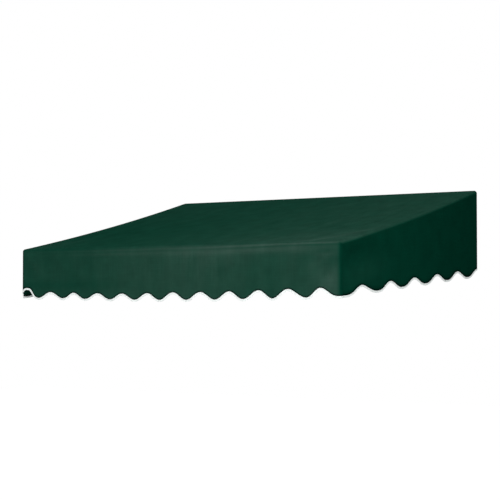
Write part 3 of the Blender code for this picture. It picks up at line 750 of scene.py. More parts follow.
def tip_height(y):
    """Height of the sides' scallop tips."""
    return TIP_Z + SIDE_SLOPE * (y + PROJECTION)


def scallop(distance, reach, pitch, fullness):
    """Height over the tips at distances from a corner, whose own scallop has its own reach and fullness."""
    near = distance < reach
    pace = np.where(near, math.pi / reach, TAU / pitch)
    phase = np.where(near, pace * distance, math.pi + pace * (distance - reach))
    return SCALLOP_DEPTH * ((1 - np.cos(phase)) / 2) ** np.where(near, *fullness)


def tip_distance(number, reach, pitch):
    """Distance from a corner to the tip of a scallop, counted from the broad corner scallop."""
    return reach + (number - 0.5) * pitch


def front_strap_places():
    """Places of the front's keeper straps, at tips of its even scallops."""
    return [
        CORNER - tip_distance(number, FRONT_CORNER_REACH, FRONT_PITCH) for number in FRONT_STRAP_SCALLOPS]


def side_strap_places():
    """Places of a side's keeper straps, at tips of its even scallops."""
    return [
        tip_distance(number, SIDE_CORNER_REACH, SIDE_PITCH) - PROJECTION for number in SIDE_STRAP_SCALLOPS]


def ripple(across, along, seed):
    """Irregular smooth waves of about one unit's length across, drawn out along, between about -1 and 1."""
    random = np.random.default_rng(seed)
    total = 0.0
    for _ in range(WAVES):
        pace = random.uniform(0.55, 1.6)
        lean = random.uniform(-0.5, 0.5)
        total = total + np.sin(TAU * (pace * across + lean * along + random.uniform()))
    return total / math.sqrt(WAVES)


def hump(value, start, end):
    """Zero at both ends of a range and outside it, one in its middle, smooth throughout."""
    share = np.clip((value - start) / (end - start), 0.0, 1.0)
    return np.sin(math.pi * share) ** 2


def bell(value, middle, width):
    """One in the middle, falling away smoothly on both sides."""
    return np.exp(-((value - middle) / width) ** 2)


def bells(value, table):
    """Sum of bells, each given as its height, middle and width."""
    return sum(height * bell(value, middle, width) for height, middle, width in table)


def patches(along, down, table):
    """Sum of soft patches, each given as its strength, and its middle and width both ways."""
    return sum(
        strength * bell(along, middle, width) * bell(down, depth, spread)
        for strength, middle, width, depth, spread in table)


def ease(value, start, end):
    """Zero before a range and one after it, with a smooth change between."""
    share = np.clip((value - start) / (end - start), 0.0, 1.0)
    return share * share * (3 - 2 * share)


def front_waves(u):
    """Height of the front's scallops: shallower to the left, deeper to the right, and arched at the left."""
    left_tip = CORNER - tip_distance(FRONT_SCALLOPS, FRONT_CORNER_REACH, FRONT_PITCH)
    u = u + bells(u, FRONT_MOVES) - LEFT_END_MOVE * ease(-u, *LEFT_END)
    in_arch = ease(left_tip - u, 0.0, ARCH_RUN)
    depth = 1 - LEFT_SHALLOWING * ease(-u, *LEFT_PART) * (1 - in_arch)
    depth = depth + RIGHT_DEEPENING * ease(u, *RIGHT_PART) + ARCH_DEEPENING * in_arch
    wave = scallop(CORNER - u, FRONT_CORNER_REACH, FRONT_PITCH, FRONT_FULLNESS) / SCALLOP_DEPTH
    wave = wave + ARCH_ROUNDING * in_arch * wave * (1 - wave) * (2 * wave - 1)
    tips = TIP_Z - FRONT_SAG * (1 - (u / CORNER) ** 2) - LEFT_TIP_DROP * bell(u, left_tip, ARCH_RUN)
    return tips + depth * SCALLOP_DEPTH * wave


def side_waves(v):
    """Height of a side's scallops."""
    moved = v + bells(v, FIRST_ARCH_MOVE) + WALL_END_MOVE * ease(v, *WALL_END)
    return tip_height(v) + scallop(moved + PROJECTION, SIDE_CORNER_REACH, SIDE_PITCH, SIDE_FULLNESS)


def rounded_edge(waves, start, end):
    """Places, heights and slopes of an edge at an even distance from the waves, so with rounder tips."""
    places = np.linspace(start, end, EDGE_STEPS)
    height = waves(places)
    slope = np.gradient(height, places)
    stretch = np.hypot(1.0, slope)
    places = places + TIP_ROUNDING * slope / stretch
    height = height + TIP_ROUNDING * (1 - 1 / stretch)
    return places, height, np.gradient(height, places)


# Tables of both edges, which run past the cloth's ends
FRONT_EDGE = rounded_edge(front_waves, -1.0, 1.0)
SIDE_EDGE = rounded_edge(side_waves, -PROJECTION - 0.1, 0.1)


def front_edge(u):
    """Height and slope of the front's scalloped edge."""
    return np.interp(u, FRONT_EDGE[0], FRONT_EDGE[1]), np.interp(u, FRONT_EDGE[0], FRONT_EDGE[2])


def side_edge(v):
    """Height and slope of a side's scalloped edge."""
    return np.interp(v, SIDE_EDGE[0], SIDE_EDGE[1]), np.interp(v, SIDE_EDGE[0], SIDE_EDGE[2])


def away_from(value, places, width):
    """Nearly zero within a width of any of the places, and one elsewhere."""
    mask = 1.0
    for place in places:
        mask = mask * (1 - bell(value, place, width))
    return mask


def fold_line(x, y, start, end, width):
    """One on a straight fold from start to end, falling away across it and towards its ends."""
    run = math.dist(start, end)
    along_x, along_y = (end[0] - start[0]) / run, (end[1] - start[1]) / run
    along = (x - start[0]) * along_x + (y - start[1]) * along_y
    across = (x - start[0]) * along_y - (y - start[1]) * along_x
    return bell(across, 0.0, width) * hump(along / run, -0.2, 1.2)


def corner_folds(across, down, strength, phase):
    """Tension folds that fan out from a corner and wander a little, as a share of the ripple height."""
    reach = np.hypot(across, down)
    angle = np.arctan2(down, across)
    fan = np.sin(FAN_PACE * angle + 2.0 * np.sin(3.0 * reach + phase) + phase)
    return strength * fan * bell(reach, 0.0, FAN_REACH) * ease(reach, *FAN_START)


def all_folds(place, length, fans, lines):
    """Fans from both corners and straight folds of the front or the roof, as a share of the ripple height."""
    right, left = fans
    folds = corner_folds(POST_X - place, length, *right) + corner_folds(POST_X + place, length, *left)
    for start, end, width, height in lines:
        folds = folds + height * fold_line(place, length, start, end, width)
    return folds


def roof_relief(x, t):
    """How far the roof stands off its rafters' plane, outwards positive."""
    sizes = bpy.context.scene.canopy_sizes
    bay = np.clip(np.abs(x) / POST_X, 0.0, 1.0)
    sag = 4 * bay * (1 - bay)
    off_rafter = ease(np.abs(x), RAFTER_HELD, HELD)
    held = hump(t, *SAG_RANGE) * (t < 1)
    length = PROJECTION * (1 - t)
    inside = ease(POST_X - np.abs(x), 0.0, HELD) * off_rafter
    drape = ripple(x / ROOF_RIPPLE[0], length / ROOF_RIPPLE[1], ROOF_SEED) * ease(t, *DRAPE_RISE)
    drape = drape * hump(t, *DRAPE_RANGE) * (bells(x, DRAPE_ZONES) + DRAPE_REST)
    folds = all_folds(x, length, ROOF_FANS, ROOF_FOLDS) * hump(t, *ROOF_FOLD_RANGE)
    return sizes.ripple * inside * (drape + folds) - sizes.bay_sag * sag * off_rafter * held


def front_relief(u, z):
    """How far the front stands off its bars, outwards positive."""
    sizes = bpy.context.scene.canopy_sizes
    down = FRONT_BAR[1] - z
    between = hump(z, LOW_BAR_Z + FRONT_PAST_BARS[0], FRONT_BAR[1] + FRONT_PAST_BARS[1])
    inside = ease(POST_X - np.abs(u), 0.0, HELD)
    hang = ripple(u / FRONT_RIPPLE[0], down / FRONT_RIPPLE[1], FRONT_SEED)
    slack = -FRONT_SLACK * between * hump(u, -POST_X, POST_X)
    folds = all_folds(u, down, FRONT_FANS, FRONT_FOLDS)
    free = ease(LOW_BAR_Z - z, 0.0, HELD) * away_from(u, front_strap_places(), FRONT_STRAP_HELD) * inside
    flutter = free * (0.5 + 0.5 * ripple(u / FRONT_FLUTTER, 0.0, FRONT_FLUTTER_SEED))
    return sizes.ripple * inside * between * (hang + folds + slack) + sizes.flutter * flutter


def side_relief(v, z, side):
    """How far a side panel stands off its bars, outwards positive."""
    sizes = bpy.context.scene.canopy_sizes
    low_bar = tip_height(v) + LOW_BAR_Z - TIP_Z
    roof = np.interp(v, [FRONT_BAR[0], HEADER[0]], [FRONT_BAR[1], HEADER[1]])
    between = hump(z, low_bar + SIDE_PAST_BARS[0], roof + SIDE_PAST_BARS[1])
    inside = ease(v - FRONT_BAR[0], 0.0, HELD) * ease(HEADER[0] - v, 0.0, HELD)
    hang = ripple(v / SIDE_RIPPLE[0], (roof - z) / SIDE_RIPPLE[1], SIDE_SEED + int(side))
    folds = corner_folds(v - FRONT_BAR[0], roof - z, *SIDE_FAN)
    free = ease(low_bar - z, 0.0, HELD) * away_from(v, side_strap_places(), HELD) * inside
    flutter = free * (0.5 + 0.5 * ripple(v / SIDE_FLUTTER, 0.0, SIDE_FLUTTER_SEED + int(side)))
    return sizes.ripple * inside * between * (hang + folds) + sizes.flutter * flutter


def front_point(u, z, radius):
    """Point of the front at a distance u along it, rolled round the corner posts at its ends."""
    side = np.sign(u)
    turn = np.maximum(0.0, np.abs(u) - POST_X) / COVER_RADIUS
    reach = radius + front_relief(u, z)
    x = side * (np.minimum(np.abs(u), POST_X) + reach * np.sin(turn))
    return np.stack((x, FRONT_BAR[0] - reach * np.cos(turn), z + 0 * u), axis=-1)


def side_point(v, z, radius, side):
    """Point of a side panel at a distance v along it, rolled round the rear post at the wall."""
    turn = np.maximum(0.0, v - HEADER[0]) / COVER_RADIUS
    reach = radius + side_relief(v, z, side)
    y = np.minimum(v, HEADER[0]) + reach * np.sin(turn)
    return np.stack((side * (POST_X + reach * np.cos(turn)), y, z + 0 * v), axis=-1)


def steps(start, end, step):
    """Even places from start to end, about a step apart."""
    return np.linspace(start, end, max(2, round(abs(end - start) / step) + 1))


def object_from_bmesh(name, bm):
    """Turn an edit mesh into an object in the scene."""
    mesh = bpy.data.meshes.new(name)
    bm.to_mesh(mesh)
    bm.free()
    item = bpy.data.objects.new(name, mesh)
    bpy.context.scene.collection.objects.link(item)
    return item


def mesh_from_grid(name, points, uvs, attributes, keep=None):
    """A sheet from a grid of points, with its cloth UVs in metres and its point attributes."""
    rows, columns = points.shape[:2]
    bm = bmesh.new()
    uv_layer = bm.loops.layers.uv.new("cloth")
    layers = {key: bm.verts.layers.float.new(key) for key in attributes}
    verts = []
    for row in range(rows):
        line = []
        for column in range(columns):
            vert = bm.verts.new(points[row, column])
            for key, layer in layers.items():
                vert[layer] = attributes[key][row, column]
            line.append(vert)
        verts.append(line)
    for row in range(rows - 1):
        for column in range(columns - 1):
            if keep is not None and not keep[row, column]:
                continue
            corners = ((row, column), (row, column + 1), (row + 1, column + 1), (row + 1, column))
            face = bm.faces.new([verts[i][j] for i, j in corners])
            for loop, (i, j) in zip(face.loops, corners):
                loop[uv_layer].uv = uvs[i, j]
    bmesh.ops.delete(bm, geom=[vert for vert in bm.verts if not vert.link_faces], context="VERTS")
    bmesh.ops.remove_doubles(bm, verts=bm.verts, dist=MERGE_DISTANCE)
    bmesh.ops.dissolve_degenerate(bm, dist=MERGE_DISTANCE, edges=bm.edges)
    return object_from_bmesh(name, bm)


def sew_panel(name, node, rows, keep=None, mirrored=False):
    """Cloth panel from rows of points, UVs, painted sheen, millimetres from tape and from seam, and painted
    shade.

    It gets its thickness inwards, and its back gets the coating.
    """
    columns = [np.array(column) for column in zip(*rows)]
    if mirrored:
        columns = [column[:, ::-1] for column in columns]
    points, uvs, *values = columns
    attributes = dict(zip(("bleach", "hem_mm", "seam_mm", "grime"), values))
    panel = mesh_from_grid(name, points, uvs, attributes, keep)
    apply_modifier(
        panel, "SOLIDIFY", thickness=CLOTH_THICKNESS, offset=-1.0, use_even_offset=False, material_offset=1,
        material_offset_rim=0)
    panel.data.shade_smooth()
    panel.data.set_sharp_from_angle(angle=math.radians(50))
    finish_piece(panel, name, "awning_cloth", [node], awning_cloth(), coated_underside())
    return panel


def roof_rows():
    """Rows of the main panel from the front bar to the header rail, and those of the hem under the rail.

    Each row is the centre that it lies round, the angle of its way out and its t on the roof.
    """
    over = [(FRONT_BAR, angle, 1.0) for angle in np.linspace(math.pi, roof_angle(1.0), FOLD_STEPS + 1)[1:]]
    over += [(rafter_axis(t), roof_angle(t), t) for t in steps(1.0, 0.0, ROOF_STEP / PROJECTION)[1:]]
    over += [(HEADER, angle, 0.0) for angle in np.linspace(roof_angle(0.0), 0.0, FOLD_STEPS + 1)[1:]]
    hem = [(HEADER, angle, 0.0) for angle in np.linspace(0.0, -math.pi / 2, FOLD_STEPS + 1)[1:]]
    return over, hem


def fade_over_roll(u, early=0.0):
    """Painted sheen fades to nothing over the corner rolls, which turn from the lamps into painted shade; it
    can end a little earlier.
    """
    return 1 - ease(np.abs(u), POST_X + 0.35 * ROLL_LENGTH - early, POST_X + ROLL_LENGTH - early / 2)


def fold_light_and_shade(place, down, lines):
    """Painted light and shade along straight folds: their crests are painted greyer and their hollows darker.
    """
    return sum(
        FOLD_SHEEN * height * fold_line(place, down, start, end, width) for start, end, width, height in lines)


def sheen_of_front(u, z):
    """Painted sheen on the front: highlights most at the right corner and along the fold, a little shade at
    the left.
    """
    down = FRONT_BAR[1] - z
    level = FRONT_SHEEN + bells(u, FRONT_ZONES) + patches(u, down, FOLD_HIGHLIGHTS)
    # Painted shade: over the left hem and just above the front bar at the left
    shaded_hem = 0.07 * bell(down, 0.165, 0.022) * ease(-u, 0.0, 0.5)
    dark_fold = 0.10 * ease(-down, -0.002, 0.006) * ease(-u, 0.0, 0.2)
    # Painted highlights: a patch low at the right corner, and a band and patches under the fold
    corner = 0.42 * bell(u, 0.86, 0.07) * ease(down, 0.05, 0.16)
    past = down + CREASE_RISE * ease(u, *CREASE_RUN)
    band = 0.38 * bell(past, 0.021, 0.017) * (1 - 0.8 * ease(u, 0.68, 0.82))
    near_corner = bell(u, 0.56, 0.48) * (band + patches(u, past, CORNER_PATCHES))
    creases = patches(u, past, CREASE_PATCHES) + fold_light_and_shade(u, down, FRONT_FOLDS)
    sheen = level - shaded_hem - dark_fold + corner + near_corner + creases
    return np.clip(sheen, LEAST_SHEEN, 1.0) * fade_over_roll(u, FRONT_SHEEN_END)


def sheen_of_roof(u, t):
    """Painted sheen on the roof: most towards the right edge and the front, some at the back left."""
    length = PROJECTION * (1 - t)
    right = 0.20 * ease(u, -0.8, 0.95)
    front_right = 0.20 * bell(length, 0.0, 0.28) * ease(u, 0.0, 0.8)
    front_left = 0.13 * bell(length, 0.0, 0.25) * ease(-u, 0.5, 0.9)
    back_left = 0.07 * ease(length, 0.5, 1.2) * ease(-u, 0.0, 0.7)
    sheen = ROOF_SHEEN + right + front_right + front_left + back_left + fold_light_and_shade(u, length, ROOF_FOLDS)
    return np.clip(sheen, LEAST_SHEEN, 1.0) * fade_over_roll(u)


def sheen_of_side(v, down):
    """Painted sheen on a side: a faint highlight in the middle of its front end."""
    return patches(v, down, SIDE_PATCHES)


def shade_of_left_edge(u):
    """Painted shade along the left rolls over the corner post and the rafter, which turn from the lamps."""
    return 0.5 * ease(-u, POST_X - 0.006, POST_X + 0.012)


def shade_of_side(v, down, over_edge, over_tip):
    """Painted shade on a side: under the rafter's front end, towards the wall, and above the tape at the
    tips.
    """
    wall = 0.26 * ease(v, -0.9, -0.05) + 0.35 * ease(v, HEADER[0] - 0.02, HEADER[0] + 0.012)
    tips = (0.75 - 0.45 * over_tip / SCALLOP_DEPTH) * (1 - ease(over_edge, 0.006, 0.034))
    return np.minimum(patches(v, down, SIDE_SHADE) + wall + tips, 1.0)


class CANOPY_OT_roof_and_front(bpy.types.Operator):
    """Model the main panel: front, fold over the front bar, roof and hem round the header rail"""

    bl_idname = "canopy.roof_and_front"
    bl_label = "Roof and Front"

    def execute(self, context):
        flat = steps(-POST_X, POST_X, CLOTH_STEP)
        hem_columns = [np.argmin(np.abs(flat - x)) for x in (-WRAP_X, WRAP_X)]
        flat[hem_columns] = (-WRAP_X, WRAP_X)
        turns = np.linspace(0.0, math.pi / 2, ROLL_STEPS + 1)[1:]
        x = np.concatenate((np.full(ROLL_STEPS, -POST_X), flat, np.full(ROLL_STEPS, POST_X)))
        turn = np.concatenate((-turns[::-1], 0 * flat, turns))
        u = x + turn * COVER_RADIUS
        height, slope = front_edge(u)
        stretch = np.hypot(1.0, slope)
        edge = height + (TAPE_THICKNESS + FIT) * stretch
        seam_mm = 1000 * (POST_X + ROLL_LENGTH - np.abs(u))
        tallest = FRONT_BAR[1] - TIP_Z
        levels = np.concatenate((
            steps(0.0, tallest - FINE_DEPTH, CLOTH_STEP),
            steps(tallest - FINE_DEPTH, tallest, FINE_STEP)[1:]))
        rows = []
        for share in levels / tallest:
            z = edge + (FRONT_BAR[1] - edge) * share
            rows.append((
                front_point(u, z, COVER_RADIUS), np.stack((u, z - FRONT_BAR[1]), axis=-1),
                sheen_of_front(u, z), 1000 * (z - height) / stretch, seam_mm, shade_of_left_edge(u)))
        over, hem = roof_rows()
        keep = np.ones((len(rows) + len(over) + len(hem) - 1, len(u) - 1), bool)
        keep[len(rows) + len(over) - 1:] = np.abs((u[1:] + u[:-1]) / 2) < WRAP_X
        middle = len(u) // 2
        run = 0.0
        for centre, angle, t in over + hem:
            reach = COVER_RADIUS + (roof_relief(x, t) if 0.0 < t < 1.0 else 0 * x)
            lift = reach * np.cos(turn)
            points = np.stack((
                x + reach * np.sin(turn),
                centre[0] + lift * math.cos(angle),
                centre[1] + lift * math.sin(angle)), axis=-1)
            run += np.linalg.norm(points[middle] - rows[-1][0][middle])
            # Painted sheen: the front's blends into the roof's over the front bar
            on_roof = ease(run, 0.0, SHEEN_BLEND)
            bleach = (1 - on_roof) * sheen_of_front(u, FRONT_BAR[1] + run) + on_roof * sheen_of_roof(u, t)
            # Painted shade round the header rail and along the left roll
            grime = np.maximum(shade_of_left_edge(u), HEADER_SHADE if centre is HEADER else 0.0)
            rows.append((
                points, np.stack((u, np.full(len(u), run)), axis=-1),
                bleach, np.full(len(u), FAR_MM), seam_mm, grime))
        panel = sew_panel("cover_roof_and_front", "cover_roof_front", rows, keep)
        panel["flat_width"] = 2 * (POST_X + ROLL_LENGTH)
        panel["flat_length"] = tallest + FRONT_SAG + run
        panel["flat_area"] = float(np.trapz(FRONT_BAR[1] - edge, u) + panel["flat_width"] * run)
        return {"FINISHED"}


class CANOPY_OT_side_panels(bpy.types.Operator):
    """Model the two side panels, each rolled round its rear post at the wall"""

    bl_idname = "canopy.side_panels"
    bl_label = "Side Panels"

    def execute(self, context):
        flat = steps(FRONT_BAR[0], HEADER[0], CLOTH_STEP)
        rolled = HEADER[0] + ROLL_LENGTH * np.linspace(0.0, 1.0, ROLL_STEPS + 1)[1:]
        v = np.concatenate((flat, rolled))
        axis = rafter_axis(np.linspace(1.0, 0.0, RAFTER_STEPS))
        top = np.interp(v, axis[:, 0], axis[:, 1])
        height, slope = side_edge(v)
        stretch = np.hypot(1.0, slope)
        edge = height + (TAPE_THICKNESS + FIT) * stretch
        tallest = float(np.max(top - edge))
        for label, side in SIDES:
            rows = []
            for share in steps(0.0, tallest, CLOTH_STEP) / tallest:
                z = edge + (top - edge) * share
                over_edge = (z - height) / stretch
                to_seam = np.minimum(top - z, v - FRONT_BAR[0])
                rows.append((
                    side_point(v, z, COVER_RADIUS, side), np.stack((side * v, z), axis=-1),
                    sheen_of_side(v, top - z), 1000 * over_edge, np.minimum(1000 * to_seam, FAR_MM),
                    shade_of_side(v, top - z, over_edge, height - tip_height(v))))
            panel = sew_panel("cover_side_panel_" + label, "cover_side_" + label, rows, mirrored=side < 0)
            panel["flat_width"] = PROJECTION + COVER_RADIUS
            panel["flat_length"] = float(np.max(top) - np.min(edge))
            panel["flat_area"] = float(np.trapz(top - edge, v))
        return {"FINISHED"}


def tape_section(band_width):
    """Closed section of the folded tape as (radius from the tube's axis, height over the edge) pairs."""
    middle = (COVER_RADIUS + LINING_RADIUS) / 2
    inner = CLOTH_THICKNESS / 2 + FIT
    outer = inner + TAPE_THICKNESS
    bend = np.linspace(0.0, -math.pi, 9)
    outside = [(middle + outer * math.cos(a), outer + outer * math.sin(a)) for a in bend]
    inside = [(middle + inner * math.cos(a), outer + inner * math.sin(a)) for a in bend[::-1]]
    half_way = band_width / 2
    section = [(middle + outer, band_width), (middle + outer, half_way)] + outside
    section += [(middle - outer, half_way), (middle - outer, band_width)]
    section += [(middle - inner, band_width), (middle - inner, half_way)] + inside
    section += [(middle + inner, half_way), (middle + inner, band_width)]
    return section


def along_edge(edge, places, offset, radius, place):
    """Points at an offset over a scalloped edge, square to it, on the cloth's own surface."""
    height, slope = edge(places)
    stretch = np.hypot(1.0, slope)
    shift = np.where((places == places[0]) | (places == places[-1]), 0.0, -slope / stretch)
    return place(places + shift * offset, height + offset / stretch, radius)


def add_tape(name, edge, places, place, node):
    """Tape folded over one scalloped edge."""
    sizes = bpy.context.scene.canopy_sizes
    section = tape_section(sizes.band_width)
    section.append(section[0])
    lines, uvs = [], []
    _, slope = edge(places)
    run = np.concatenate(([0.0], np.cumsum(np.hypot(1.0, slope[1:]) * np.diff(places))))
    across = 0.0
    for index, (radius, offset) in enumerate(section):
        if index:
            across += math.dist(section[index - 1], section[index])
        lines.append(along_edge(edge, places, offset, radius, place))
        uvs.append(np.stack((run, np.full(len(run), across)), axis=-1))
    item = mesh_from_grid(name, np.array(lines), np.array(uvs), {})
    make_active(item)
    bpy.ops.object.mode_set(mode="EDIT")
    bpy.ops.mesh.select_all(action="SELECT")
    bpy.ops.mesh.fill_holes(sides=0)
    bpy.ops.mesh.normals_make_consistent(inside=False)
    bpy.ops.object.mode_set(mode="OBJECT")
    shade(item, 50.0)
    finish_piece(item, name, "binding_tape", [node], binding_tape())


def bound_edges(step):
    """Each bound edge: its label, its heights, places along it about a step apart, and its point function."""
    front = steps(-POST_X - ROLL_LENGTH, POST_X + ROLL_LENGTH, step)
    along_side = steps(FRONT_BAR[0] + FIT, HEADER[0] + ROLL_LENGTH, step)
    edges = [("front", front_edge, front, front_point)]
    for label, side in SIDES:
        edges.append((label, side_edge, along_side, partial(side_point, side=side)))
    return edges


class CANOPY_OT_edge_binding(bpy.types.Operator):
    """Model the white tape that binds the scalloped edges"""

    bl_idname = "canopy.edge_binding"
    bl_label = "Edge Binding"

    def execute(self, context):
        for label, edge, places, place in bound_edges(TAPE_STEP):
            add_tape("tape_" + label, edge, places, place, "binding_" + label)
        return {"FINISHED"}


def sample(vectors, run, distance):
    """Vector at a distance along a row, from the row's vectors and their distances along it."""
    return np.array([np.interp(distance, run, vectors[:, axis]) for axis in range(3)])


def add_stitches(name, lines, thread_radius, material):
    """Rows of lock stitches: each row is a list of points with the way out of the cloth at each."""
    sizes = bpy.context.scene.canopy_sizes
    pitch = sizes.stitch_length * STITCH_PITCH
    half = sizes.stitch_length / 2
    bm = bmesh.new()
    for points, outs in lines:
        lengths = np.linalg.norm(np.diff(points, axis=0), axis=1)
        run = np.concatenate(([0.0], np.cumsum(lengths)))
        for middle in np.arange(pitch, run[-1] - pitch, pitch):
            out = sample(outs, run, middle)
            along = sample(points, run, middle + half) - sample(points, run, middle - half)
            along = along / np.linalg.norm(along)
            across = np.cross(along, out)
            rings = []
            for share, lift, width in STITCH_RINGS:
                centre = sample(points, run, middle + share * half) + out * (thread_radius * lift)
                ring = []
                for index in range(STITCH_SIDES):
                    angle = TAU * index / STITCH_SIDES
                    spoke = across * math.cos(angle) + out * math.sin(angle)
                    ring.append(bm.verts.new(centre + spoke * (thread_radius * width)))
                rings.append(ring)
            for first, second in zip(rings, rings[1:]):
                for index in range(STITCH_SIDES):
                    after = (index + 1) % STITCH_SIDES
                    bm.faces.new((first[index], first[after], second[after], second[index]))
            bm.faces.new(rings[0][::-1])
            bm.faces.new(rings[-1])
    bmesh.ops.recalc_face_normals(bm, faces=bm.faces)
    item = object_from_bmesh(name, bm)
    item.data.shade_smooth()
    item.data.materials.append(material)
    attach(item, "root")


def stitch_line(points, inner_points):
    """A row of stitches on the outer of two matching rows of points, with the way out between them."""
    outs = points - inner_points
    return points, outs / np.linalg.norm(outs, axis=1)[:, None]


class CANOPY_OT_stitching(bpy.types.Operator):
    """Model the sewing: white thread on the tape and green thread along the seams"""

    bl_idname = "canopy.stitching"
    bl_label = "Stitching"

    def execute(self, context):
        row_height = context.scene.canopy_sizes.band_width * TAPE_ROW
        tape_outside = COVER_RADIUS + FIT + TAPE_THICKNESS
        tape_inside = LINING_RADIUS - FIT - TAPE_THICKNESS
        white = sewing_thread("white_thread", "#DDE2DE")
        green = sewing_thread("green_thread", "#042D20")
        for label, edge, places, place in bound_edges(CLOTH_STEP / 2):
            outside = along_edge(edge, places, row_height, tape_outside, place)
            inside = along_edge(edge, places, row_height, tape_inside, place)
            rows = [stitch_line(outside, inside), stitch_line(inside, outside)]
            add_stitches("stitches_tape_" + label, rows, TAPE_THREAD, white)
        under_rafter = rafter_axis(np.linspace(*RAFTER_SEAM, RAFTER_SEAM_POINTS))
        below_bar, above_tips = POST_SEAM_SHORT
        down_post = np.linspace(FRONT_BAR[1] - below_bar, TIP_Z + above_tips, POST_SEAM_POINTS)
        for label, side in SIDES:
            lines = [(under_rafter[:, 0], under_rafter[:, 1] - drop) for drop in SEAM_ROWS]
            lines += [(np.full(len(down_post), FRONT_BAR[0] + back), down_post) for back in SEAM_ROWS]
            rows = [
                stitch_line(side_point(v, z, COVER_RADIUS, side), side_point(v, z, LINING_RADIUS, side))
                for v, z in lines]
            add_stitches("stitches_seam_" + label, rows, SEAM_THREAD, green)
        return {"FINISHED"}


def add_tube(node, bow=0.0):
    """A round tube in place of a tube's solid, with an even downward bow if it has one."""
    clear_selection()
    start, end = tube_ends(node)
    chord = end - start
    below = Vector((0.0, chord.z, -chord.y)).normalized() * bow
    control = (start + end) / 2 + 2 * below
    bpy.ops.curve.primitive_bezier_curve_add()
    curve = bpy.context.object
    first, last = curve.data.splines[0].bezier_points
    for point in (first, last):
        point.handle_left_type = "FREE"
        point.handle_right_type = "FREE"
    first.co = start
    last.co = end
    first.handle_right = start.lerp(control, 2 / 3)
    first.handle_left = start * 2 - first.handle_right
    last.handle_left = end.lerp(control, 2 / 3)
    last.handle_right = end * 2 - last.handle_left
    curve.data.bevel_depth = TUBE_RADIUS
    curve.data.bevel_resolution = TUBE_ROUND_STEPS
    curve.data.resolution_u = TUBE_BOW_STEPS if bow else TUBE_STRAIGHT_STEPS
    bpy.ops.object.convert(target="MESH")
    tube = bpy.context.object
    make_active(tube)
    bpy.ops.object.mode_set(mode="EDIT")
    bpy.ops.mesh.select_all(action="SELECT")
    bpy.ops.mesh.remove_doubles(threshold=MERGE_DISTANCE)
    bpy.ops.mesh.normals_make_consistent(inside=False)
    bpy.ops.object.mode_set(mode="OBJECT")
    apply_modifier(tube, "SOLIDIFY", thickness=TUBE_WALL, offset=-1.0)
    break_edges(tube, TUBE_EDGE, 60.0)
    return tube


def screw_seats():
    """Each screw's node with its seat on the tube, the way out along its axis, and the tube that it holds."""
    seats = {}
    back_off = SPIGOT_LENGTH / 2 - FIT
    for label, x_side in (("left", -1.0), ("centre", 0.0), ("right", 1.0)):
        front, rear = tube_ends("rafter_" + label)
        chord = front - rear
        for place, end in (("front", front), ("rear", rear)):
            t = 1.0 if place == "front" else 0.0
            angle = roof_angle(t)
            out = Vector((0.0, -math.cos(angle), -math.sin(angle)))
            inward = out.cross(Vector((1.0, 0.0, 0.0)))
            if inward.dot(chord) * (1 if place == "front" else -1) > 0:
                inward = -inward
            seat = end + inward * back_off + out * (TUBE_RADIUS + FIT)
            seats["screw_rafter_%s_%s" % (place, label)] = (seat, out, "rafter_" + label)
        if x_side:
            front, rear = tube_ends("lower_side_bar_" + label)
            along = (rear - front).normalized()
            out = Vector((-x_side, 0.0, 0.0))
            for place, end, sign in (("front", front, 1.0), ("rear", rear, -1.0)):
                seat = end + along * (sign * back_off) + out * (TUBE_RADIUS + FIT)
                seats["screw_lower_%s_%s" % (place, label)] = (seat, out, "lower_side_bar_" + label)
    return seats


class CANOPY_OT_tubes(bpy.types.Operator):
    """Model the sixteen galvanised tubes with their screw holes"""

    bl_idname = "canopy.tubes"
    bl_label = "Frame Tubes"

    def execute(self, context):
        drill_out, drill_in = 0.004, 0.006
        seats = screw_seats().values()
        kinds = ("header_rail_", "front_bar_", "lower_", "rafter_", "front_post_", "rear_post_")
        tubes = sorted(
            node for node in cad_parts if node.startswith(kinds) and not node.endswith("_right"))
        for node in tubes:
            start, end = tube_ends(node)
            share = (end - start).length / np.linalg.norm(ROOF_CHORD)
            tube = add_tube(node, ROOF_BOW * share ** 2 if node.startswith("rafter_") else 0.0)
            drills = [
                add_cylinder(seat + out * drill_out, seat - out * drill_in, SCREW_HOLE_RADIUS, 24)
                for seat, out, through in seats if through == node]
            boolean(tube, drills, "DIFFERENCE")
            shade(tube)
            finish_pair(tube, node, "_tube", "galvanised_tube", galvanised_steel())
        return {"FINISHED"}


def fitting_arms():
    """Each left and middle casting's node with its centre and its arms' directions."""
    downhill = Vector((0.0, *(rafter_axis(0.05) - rafter_axis(0.0)))).normalized()
    uphill = Vector((0.0, *(rafter_axis(0.95) - rafter_axis(1.0)))).normalized()
    right, up = Vector((1.0, 0.0, 0.0)), Vector((0.0, 0.0, 1.0))
    wallward = (SIDE_BAR[1] - SIDE_BAR[0]).normalized()
    along = {"left": (right,), "centre": (right, -right)}
    rear_low = SIDE_BAR[0] + wallward * ((HEADER[0] - SIDE_BAR[0].y) / wallward.y)
    fittings = {}
    for label, x in (("left", -POST_X), ("centre", 0.0)):
        at_end = label == "left"
        header_arms = along[label] + ((-up, downhill) if at_end else (downhill,))
        fittings["fitting_header_" + label] = (Vector((x, *HEADER)), header_arms)
        fittings["fitting_front_top_" + label] = (Vector((x, *FRONT_BAR)), along[label] + (-up, uphill))
        low_arms = along[label] + ((up, wallward) if at_end else (up,))
        fittings["fitting_front_low_" + label] = (Vector((x, FRONT_BAR[0], LOW_BAR_Z)), low_arms)
        if at_end:
            fittings["fitting_rear_low_" + label] = (Vector((x, rear_low.y, rear_low.z)), (up, -wallward))
    return fittings


